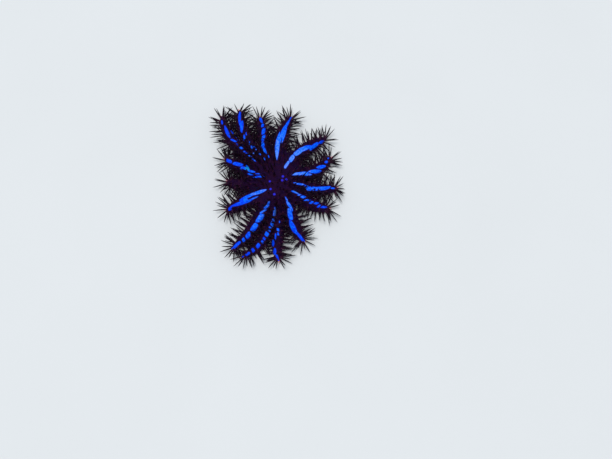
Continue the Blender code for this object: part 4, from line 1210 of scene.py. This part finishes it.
def make_papulae():
    """One piece of short blunt rods, over the disc and over each arm's back and sides."""
    chance = np.random.RandomState(SPINE_SEED + 1)
    parts = [back_papulae(chance)] + [wall_papulae(side, chance) for side in (-1.0, 1.0)]
    roots, ways, lengths, girths, bends, patches = (np.concatenate(part) for part in zip(*parts))
    mesh = rods("papulae", roots, ways, lengths, girths, PAPULA_RINGS, PAPULA_SIDES, bends, patches)
    finish = Finish("purple_papulae")
    foot = finish.mix(finish.noise(70.0, 4.0), *PAPULA_FOOT)
    tip = finish.mix(finish.noise(300.0, 2.0), *PAPULA_TIP)
    colour = finish.mix(finish.ease(finish.attribute("along"), 0.2, 1.0), foot, tip)
    bump = finish.bump(finish.noise(2500.0, 1.0), 0.0001)
    finish.shade(Base_Color=colour, Roughness=0.5, Specular_IOR_Level=0.10, Normal=bump)
    place_piece("papulae", mesh, finish.material)


make_papulae()


# Sieve plates
# Water enters the body through a handful of small limy plates on the disc. Each is a low round button, cut by
# fine grooves that run out from its middle, and shows as a violet spot.
SIEVE_RADIUS = 0.0026
SIEVE_RADII = (0.85, 1.15)
SIEVE_RISE = 0.0011
SIEVE_ROWS = 10
SIEVE_GROOVES = 11
# How deep the grooves are, as a share of the rise, and the share of that depth that they keep at the rim.
SIEVE_GROOVE_DEPTH, SIEVE_RIM_SHARE = 0.16, 0.25
SIEVE_PATCH = 0.006
SIEVE_LIME = ((0.008, 0.008, 0.46), (0.026, 0.020, 0.78))


def sieve_sheet(turn, away, radius):
    """A round button: it rises with the root of one minus the way out squared, less grooves by a cosine."""
    out = np.sin(0.5 * np.pi * np.linspace(0.0, 1.0, SIEVE_ROWS))[:, None]
    angle = np.linspace(0.0, 2.0 * np.pi, 4 * SIEVE_GROOVES + 1)[None]
    ribs = 1.0 - SIEVE_GROOVE_DEPTH * out * (0.5 + 0.5 * np.cos(SIEVE_GROOVES * angle))
    centre = np.array([*polar(away, turn), 0.0])
    arm, reach, off, _ = locate(centre[None])
    f = reach / rim_radius(turn)
    height = upper_heights(np.clip(off / half_spacing(arm, reach, 1), -1.0, 1.0), f)[1][0]
    z = height + SIEVE_RISE * (np.sqrt(1.0 - out**2) * ribs + SIEVE_RIM_SHARE * (ribs - 1.0))
    top = np.stack(np.broadcast_arrays(*polar(radius * out, angle, centre), z), axis=-1)
    sunk = top[-1:] - [0.0, 0.0, 2.0 * SIEVE_RISE]
    middle = 0.0 * sunk + centre + [0.0, 0.0, height - 2.0 * SIEVE_RISE]
    grid = np.concatenate([top, sunk, middle])
    spread = SIEVE_PATCH * np.linspace(0.0, 1.0, len(grid))[:, None, None]
    circle = np.stack([np.cos(angle), np.sin(angle)], axis=-1)
    return grid, upper_place(arm, np.zeros(1), f)[None] + spread * circle


def make_sieve_plates():
    """One piece of all the plates, in violet lime with a fine grain."""
    chance = np.random.RandomState(SPINE_SEED + 2)
    sheets = [
        sieve_sheet(math.radians(turn), away, SIEVE_RADIUS * chance.uniform(*SIEVE_RADII))
        for turn, away in SIEVE_PLACES
    ]
    finish = Finish("violet_sieve_lime")
    colour = finish.mix(finish.ease(finish.noise(900.0, 3.0), 0.35, 0.65), *SIEVE_LIME)
    bump = finish.bump(finish.cells(2200.0), 0.0003)
    finish.shade(Base_Color=colour, Roughness=0.55, Specular_IOR_Level=0.25, Normal=bump)
    place_piece("sieve_plates", joined("sieve_plates", sheets), finish.material)


make_sieve_plates()


# Feelers
# A short soft feeler of pink flesh grows from the end of each arm and turns up a little. A red eyespot covers
# its foot.
FEELER_RINGS = (
    (-0.25, 0.9), (0.0, 1.0), (0.2, 1.06), (0.45, 0.95),
    (0.7, 0.80), (0.88, 0.62), (0.97, 0.40), (1.0, 0.12),
)
FEELER_SIDES = 16
FEELER_GIRTH = 0.0017
FEELER_HALF_LENGTH = 0.0030
FEELER_PLACE = 1.98
FEELER_DROP = 0.0004
FEELER_RISE, FEELER_BEND = 0.16, 0.12
# The feelers lie on the map in a line of their own, over the upper skin.
UNROLL_FEELERS = 0.485
FEELER_PATCH = 0.012
FEELER_FLESH = ((0.42, 0.13, 0.17), (0.58, 0.26, 0.28))
EYESPOT_RED = (0.30, 0.008, 0.010)


def make_feelers():
    """Rods in the places of the solid feelers, along each arm's line at its tip."""
    arms = np.arange(ARM_COUNT)
    boxes = [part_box(f"eyespot_{number:02d}") for number in arms + 1]
    middles = np.array([0.5 * (np.array(low) + np.array(high)) for low, high in boxes])
    ahead, _ = arm_directions(arms, np.ones(ARM_COUNT), np.full(ARM_COUNT, FEELER_PLACE))
    starts = middles - FEELER_HALF_LENGTH * ahead - [0.0, 0.0, FEELER_DROP]
    ways = unit(ahead + [0.0, 0.0, FEELER_RISE])
    lengths, girths = np.full(ARM_COUNT, 2.0 * FEELER_HALF_LENGTH), np.full(ARM_COUNT, FEELER_GIRTH)
    bends = np.tile([0.0, 0.0, FEELER_BEND], (ARM_COUNT, 1))
    places = unrolled(arms, np.zeros(ARM_COUNT), UNROLL_FEELERS)
    finish = Finish("pink_feeler_flesh")
    flesh = finish.mix(finish.noise(600.0), *FEELER_FLESH)
    flesh = finish.mix(finish.ease(finish.attribute("along"), 0.02, 0.22), EYESPOT_RED, flesh)
    bump = finish.bump(finish.noise(1200.0), 0.0002)
    finish.shade(Base_Color=flesh, Roughness=0.32, Normal=bump, Subsurface_Weight=0.15)
    sizes = (lengths, girths, FEELER_RINGS, FEELER_SIDES)
    mesh = rods("feelers", starts, ways, *sizes, bends, places, FEELER_PATCH)
    feelers = place_piece("feelers", mesh, finish.material)
    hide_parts(*[f"eyespot_{number:02d}" for number in arms + 1])


make_feelers()


# Mouth
# A soft puckered membrane closes the mouth, in the middle of the underside, but for a small round opening. It
# is thin wet flesh, joined to the body all round its rim.
MOUTH_PUCKERS = 15
MOUTH_OPENING = 0.0016
MEMBRANE_THICKNESS = 0.0016
MEMBRANE_INSET = 0.0001
MEMBRANE_RISE = 0.0004
MEMBRANE_ROWS = 41
FOLD_HEIGHT = 0.00035
LIP_RISE, LIP_WIDTH = 0.0010, 0.16
MEMBRANE_PATCH = 0.03
MEMBRANE_FLESH = ((0.36, 0.20, 0.16), (0.52, 0.35, 0.28))


def make_mouth():
    """A ring whose section is a flat loop: down over the lip, out along the folds, and back above them.

    The folds are a cosine of the angle, which fades at the rim. The lip is the loop's round inner end, raised
    by a bell curve.
    """
    low, high = (np.array(corner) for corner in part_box("mouth"))
    outer, bottom, ceiling = 0.5 * float(high[0] - low[0]) - MEMBRANE_INSET, float(low[2]), float(high[2])
    thickness = min(MEMBRANE_THICKNESS, ceiling - bottom - MEMBRANE_RISE)
    angle = np.linspace(0.0, 2.0 * np.pi, 8 * MOUTH_PUCKERS + 1)[None]
    turn = np.linspace(0.0, 2.0 * np.pi, MEMBRANE_ROWS)[:, None]
    reach = 0.5 - 0.5 * np.cos(turn)
    fade = np.sin(np.pi * np.clip(reach, 0.0, 1.0)) ** 0.8
    folds = np.cos(MOUTH_PUCKERS * angle + 0.4 * np.sin(3.0 * angle)) * fade
    lip = LIP_RISE * np.exp(-((reach / LIP_WIDTH) ** 2))
    z = bottom + 0.5 * thickness * (1.0 - np.sin(turn)) + MEMBRANE_RISE + FOLD_HEIGHT * folds + lip
    x, y = polar(MOUTH_OPENING + (outer - MOUTH_OPENING) * reach, angle)
    grid = np.stack(np.broadcast_arrays(x, y, np.clip(z, bottom, ceiling)), axis=-1)
    spread = MEMBRANE_PATCH * reach * np.where(turn < np.pi, 1.0, 0.5)
    across, up = 0.5 + spread * np.cos(angle), 0.5 + 0.5 * spread * np.sin(angle)
    sheet = joined("mouth_membrane", [(grid, np.stack(np.broadcast_arrays(across, up), axis=-1))])
    finish = Finish("mouth_membrane_flesh")
    flesh = finish.mix(finish.ease(finish.noise(350.0, 4.0), 0.35, 0.65), *MEMBRANE_FLESH)
    bump = finish.bump(finish.noise(1100.0, 3.0), 0.0003)
    finish.shade(Base_Color=flesh, Roughness=0.38, Normal=bump, Subsurface_Weight=0.1)
    membrane = place_piece("mouth_membrane", sheet, finish.material)
    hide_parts("mouth")


make_mouth()


# Mouth spines
# A ring of blunt spines leans in over the mouth, two from each ridge between the grooves of neighbouring
# arms. They are pale limy rods in thin skin, as the pegs of the soles are.
MOUTH_SPINE_LENGTH = 0.0062
MOUTH_SPINE_LENGTHS = (0.85, 1.1)
MOUTH_SPINE_GIRTH = 0.00095
MOUTH_SPINE_GIRTHS = (0.9, 1.1)
MOUTH_SPINE_ACROSS = 0.70
MOUTH_SPINE_OUT = 0.0010
MOUTH_SPINE_DROP = 0.0002
MOUTH_SPINE_RISE, MOUTH_SPINE_UNEVEN = 0.05, 0.06
UNROLL_MOUTH_SPINES = 0.97
PEG_RINGS = ((-0.20, 1.05), (0.10, 1.0), (0.60, 0.92), (0.90, 0.78), (1.0, 0.45))
PEG_SIDES = 6
PEG_ROOT = ((0.16, 0.075, 0.075), (0.26, 0.14, 0.12))
PEG_POINT = ((0.46, 0.34, 0.27), (0.60, 0.48, 0.38))


def peg_finish():
    """Pale limy pegs in thin pinkish skin, browner at the root."""
    finish = Finish("pale_limy_pegs")
    fine = finish.noise(700.0, 3.0)
    root, point = finish.mix(fine, *PEG_ROOT), finish.mix(fine, *PEG_POINT)
    colour = finish.mix(finish.ease(finish.attribute("along"), 0.1, 0.9), root, point)
    bump = finish.bump(finish.noise(2000.0), 0.0002)
    finish.shade(Base_Color=colour, Roughness=0.6, Normal=bump)
    return finish.material


def make_mouth_spines(material):
    """Rods from the ridges' inner ends, which point to the mouth's middle and a little up."""
    chance = np.random.RandomState(SPINE_SEED + 3)
    arm = np.repeat(np.arange(ARM_COUNT), 2)
    u = np.tile([MOUTH_SPINE_ACROSS, -MOUTH_SPINE_ACROSS], ARM_COUNT)
    roots = lower_point(arm, u, (MOUTH_RADIUS + MOUTH_SPINE_OUT) / ring_radius(arm, u), -MOUTH_SPINE_DROP)
    inward = unit((disc_middle - roots) * [1.0, 1.0, 0.0])
    uneven = either_way(chance, MOUTH_SPINE_UNEVEN, roots.shape) * [1.0, 1.0, 0.4]
    ways = unit(inward + [0.0, 0.0, MOUTH_SPINE_RISE] + uneven)
    lengths = MOUTH_SPINE_LENGTH * chance.uniform(*MOUTH_SPINE_LENGTHS, len(arm))
    girths = MOUTH_SPINE_GIRTH * chance.uniform(*MOUTH_SPINE_GIRTHS, len(arm))
    patches = unrolled(arm, UNROLL_CREST * u, UNROLL_MOUTH_SPINES)
    straight = np.zeros(roots.shape)
    mesh = rods("mouth_spines", roots, ways, lengths, girths, PEG_RINGS, PEG_SIDES, straight, patches)
    place_piece("mouth_spines", mesh, material)


peg_material = peg_finish()
make_mouth_spines(peg_material)


# Tube feet
# Two rows of soft feet fill the groove under each arm. Each is a column of yellow-brown flesh that ends in a
# round sucker on the floor.
FOOT_SPACING = 0.0044
FOOT_START, FOOT_END_SHARE = 0.0165, 0.97
FOOT_STAGGER = 0.25
FOOT_GIRTH = 0.00092
FOOT_GIRTHS = (0.88, 1.08)
FOOT_THINNER = 0.40
FOOT_OFFSET = 0.0021
# The rows stand no farther off than a share of the half width, and no foot is wider than a share of that.
FOOT_OFFSET_SHARE, FOOT_GIRTH_SHARE = 0.40, 0.60
FOOT_ACROSS_UNEVEN, FOOT_ALONG_UNEVEN = 0.06, 0.003
FOOT_BEND = 0.06
FOOT_SINK = 0.0004
FOOT_SUCKER = 1.40
FOOT_RINGS = (
    (-0.10, 0.95), (0.08, 1.0), (0.40, 0.82), (0.74, 0.75), (0.85, 1.00), (0.93, FOOT_SUCKER), (1.0, 1.28),
)
FOOT_SIDES = 9
FLOOR_GAP = 0.00003
FOOT_FLESH = ((0.40, 0.22, 0.10), (0.62, 0.42, 0.22))
SUCKER_FLESH = (0.70, 0.54, 0.35)


def radius_steps(arm, spacing, start, end_share):
    """Places along an arm at an even spacing from the mouth to its tip, as f."""
    ring, length = float(ring_radius(arm, 0.0)), float(arm_length(arm))
    radius = np.arange(start, ring + end_share * length, spacing)
    return np.where(radius < ring, radius / ring, 1.0 + (radius - ring) / length)


def downward_rods(name, places, sink, girths, bends, rings, sides, lengths=1.0):
    """A mesh of rods that hang from the underside at places given as arm, u and f, down to the floor at most.

    Their roots lie above it by the sink.
    """
    arm, u, f = places
    roots = lower_point(arm, u, f, sink)
    lengths = np.minimum(lengths, roots[:, 2] - FLOOR_GAP)
    ways = np.tile([0.0, 0.0, -1.0], (len(roots), 1))
    patches = unrolled(arm, UNROLL_CREST * u, UNROLL_MOUTH - UNROLL_LOWER * f)
    return rods(name, roots, ways, lengths, girths, rings, sides, bends, patches)


def tube_foot_finish():
    """Yellow-brown flesh, mottled, with a paler sucker."""
    finish = Finish("tube_foot_flesh")
    flesh = finish.mix(finish.noise(500.0), *FOOT_FLESH)
    flesh = finish.mix(finish.ease(finish.attribute("along"), 0.75, 0.95), flesh, SUCKER_FLESH)
    bump = finish.bump(finish.noise(1400.0), 0.0002)
    finish.shade(Base_Color=flesh, Roughness=0.35, Normal=bump, Subsurface_Weight=0.12)
    return finish.material


def make_tube_feet():
    """Two rows of rods from each groove's roof to the floor. The rows and the feet narrow with the groove.

    Gives back where the suckers stand and how wide they are.
    """
    chance = np.random.RandomState(SPINE_SEED + 5)
    rows = []
    for arm in range(ARM_COUNT):
        for side in (-1, 1):
            start = FOOT_START + FOOT_STAGGER * FOOT_SPACING * side
            f = radius_steps(arm, FOOT_SPACING, start, FOOT_END_SHARE)
            radius, t = np.minimum(f, 1.0) * ring_radius(arm, 0.0), np.maximum(f - 1.0, 0.0)
            sector = radius * np.minimum(half_spacing(arm, radius, 1), half_spacing(arm, radius, -1))
            half = np.where(f < 1.0, sector, natural_half_width(t))
            offset = np.minimum(FOOT_OFFSET, FOOT_OFFSET_SHARE * half)
            u = side * offset / half * (1.0 + either_way(chance, FOOT_ACROSS_UNEVEN, len(f)))
            f = f + either_way(chance, FOOT_ALONG_UNEVEN, len(f))
            widest = np.minimum(FOOT_GIRTH * (1.0 - FOOT_THINNER * t**2), FOOT_GIRTH_SHARE * offset)
            rows.append((np.full(len(f), arm), u, f, widest * chance.uniform(*FOOT_GIRTHS, len(f))))
    *places, girths = (np.concatenate(part) for part in zip(*rows))
    bends = either_way(chance, FOOT_BEND, (len(girths), 3)) * [1.0, 1.0, 0.0]
    mesh = downward_rods("tube_feet", places, FOOT_SINK, girths, bends, FOOT_RINGS, FOOT_SIDES)
    place_piece("tube_feet", mesh, tube_foot_finish())
    return np.stack(plan(*places), axis=-1), FOOT_SUCKER * girths


foot_spots, foot_widths = make_tube_feet()


# Underside pegs
# Short blunt spines stud the pale soles and carry the animal on their flat ends. They stand close along both
# edges of each groove and farther apart outside these, and thin out where the arms crowd together.
# Columns: place across the arm, spacing, girth and length.
PEG_COLUMNS = (
    (0.43, 0.0028, 0.00078, 0.0030), (0.60, 0.0042, 0.00100, 0.0034), (0.78, 0.0048, 0.00105, 0.0034),
    (0.93, 0.0058, 0.00095, 0.0034),
)
PEG_START, PEG_END_SHARE = 0.0175, 0.95
PEG_GIRTHS = (0.82, 1.12)
PEG_THINNER = 0.35
PEG_LENGTHS = (0.9, 1.0)
PEG_ACROSS_UNEVEN, PEG_ALONG_UNEVEN = 0.04, 0.008
PEG_BEND = 0.12
PEG_ROOM = 0.00025


def thinned(spots, widths, firm):
    """Which spots stay when each keeps clear of all that stay before it.

    The first ones, as many as firm, stay in any case and are left out of the answer.
    """
    apart = np.linalg.norm(spots[:, None] - spots[None], axis=-1)
    earlier = np.tri(len(spots), k=-1, dtype=bool)
    earlier[:firm] = False
    near = earlier & (apart < widths[:, None] + widths[None] + PEG_ROOM)
    stays, gone = np.zeros(len(spots), bool), np.zeros(len(spots), bool)
    while not (stays | gone).all():
        stays |= ~gone & ~(near & ~gone[None]).any(axis=1)
        gone |= (near & stays[None]).any(axis=1)
    return stays[firm:]


def make_pegs(material):
    """Upright rods from the sole towards the floor, in columns beside every groove."""
    chance = np.random.RandomState(SPINE_SEED + 4)
    rows = []
    for across, spacing, girth, length in PEG_COLUMNS:
        for arm in range(ARM_COUNT):
            for side in (-1.0, 1.0):
                start = PEG_START + chance.uniform(0.0, spacing)
                even = radius_steps(arm, spacing, start, PEG_END_SHARE)
                count = len(even)
                u = side * (across + either_way(chance, PEG_ACROSS_UNEVEN, count))
                f = even + either_way(chance, PEG_ALONG_UNEVEN, count)
                thinner = 1.0 - PEG_THINNER * np.maximum(even - 1.0, 0.0) ** 2
                girths = girth * chance.uniform(*PEG_GIRTHS, count) * thinner
                rows.append((np.full(count, arm), u, f, girths, length * chance.uniform(*PEG_LENGTHS, count)))
    arm, u, f, girths, lengths = (np.concatenate(part) for part in zip(*rows))
    spots = np.concatenate([foot_spots, np.stack(plan(arm, u, f), axis=-1)])
    keep = thinned(spots, np.concatenate([foot_widths, girths]), len(foot_spots))
    arm, u, f, girths, lengths = arm[keep], u[keep], f[keep], girths[keep], lengths[keep]
    bends = either_way(chance, PEG_BEND, (len(f), 3)) * [1.0, 1.0, 0.0]
    mesh = downward_rods("underside_pegs", (arm, u, f), 0.0, girths, bends, PEG_RINGS, PEG_SIDES, lengths)
    place_piece("underside_pegs", mesh, material)


make_pegs(peg_material)
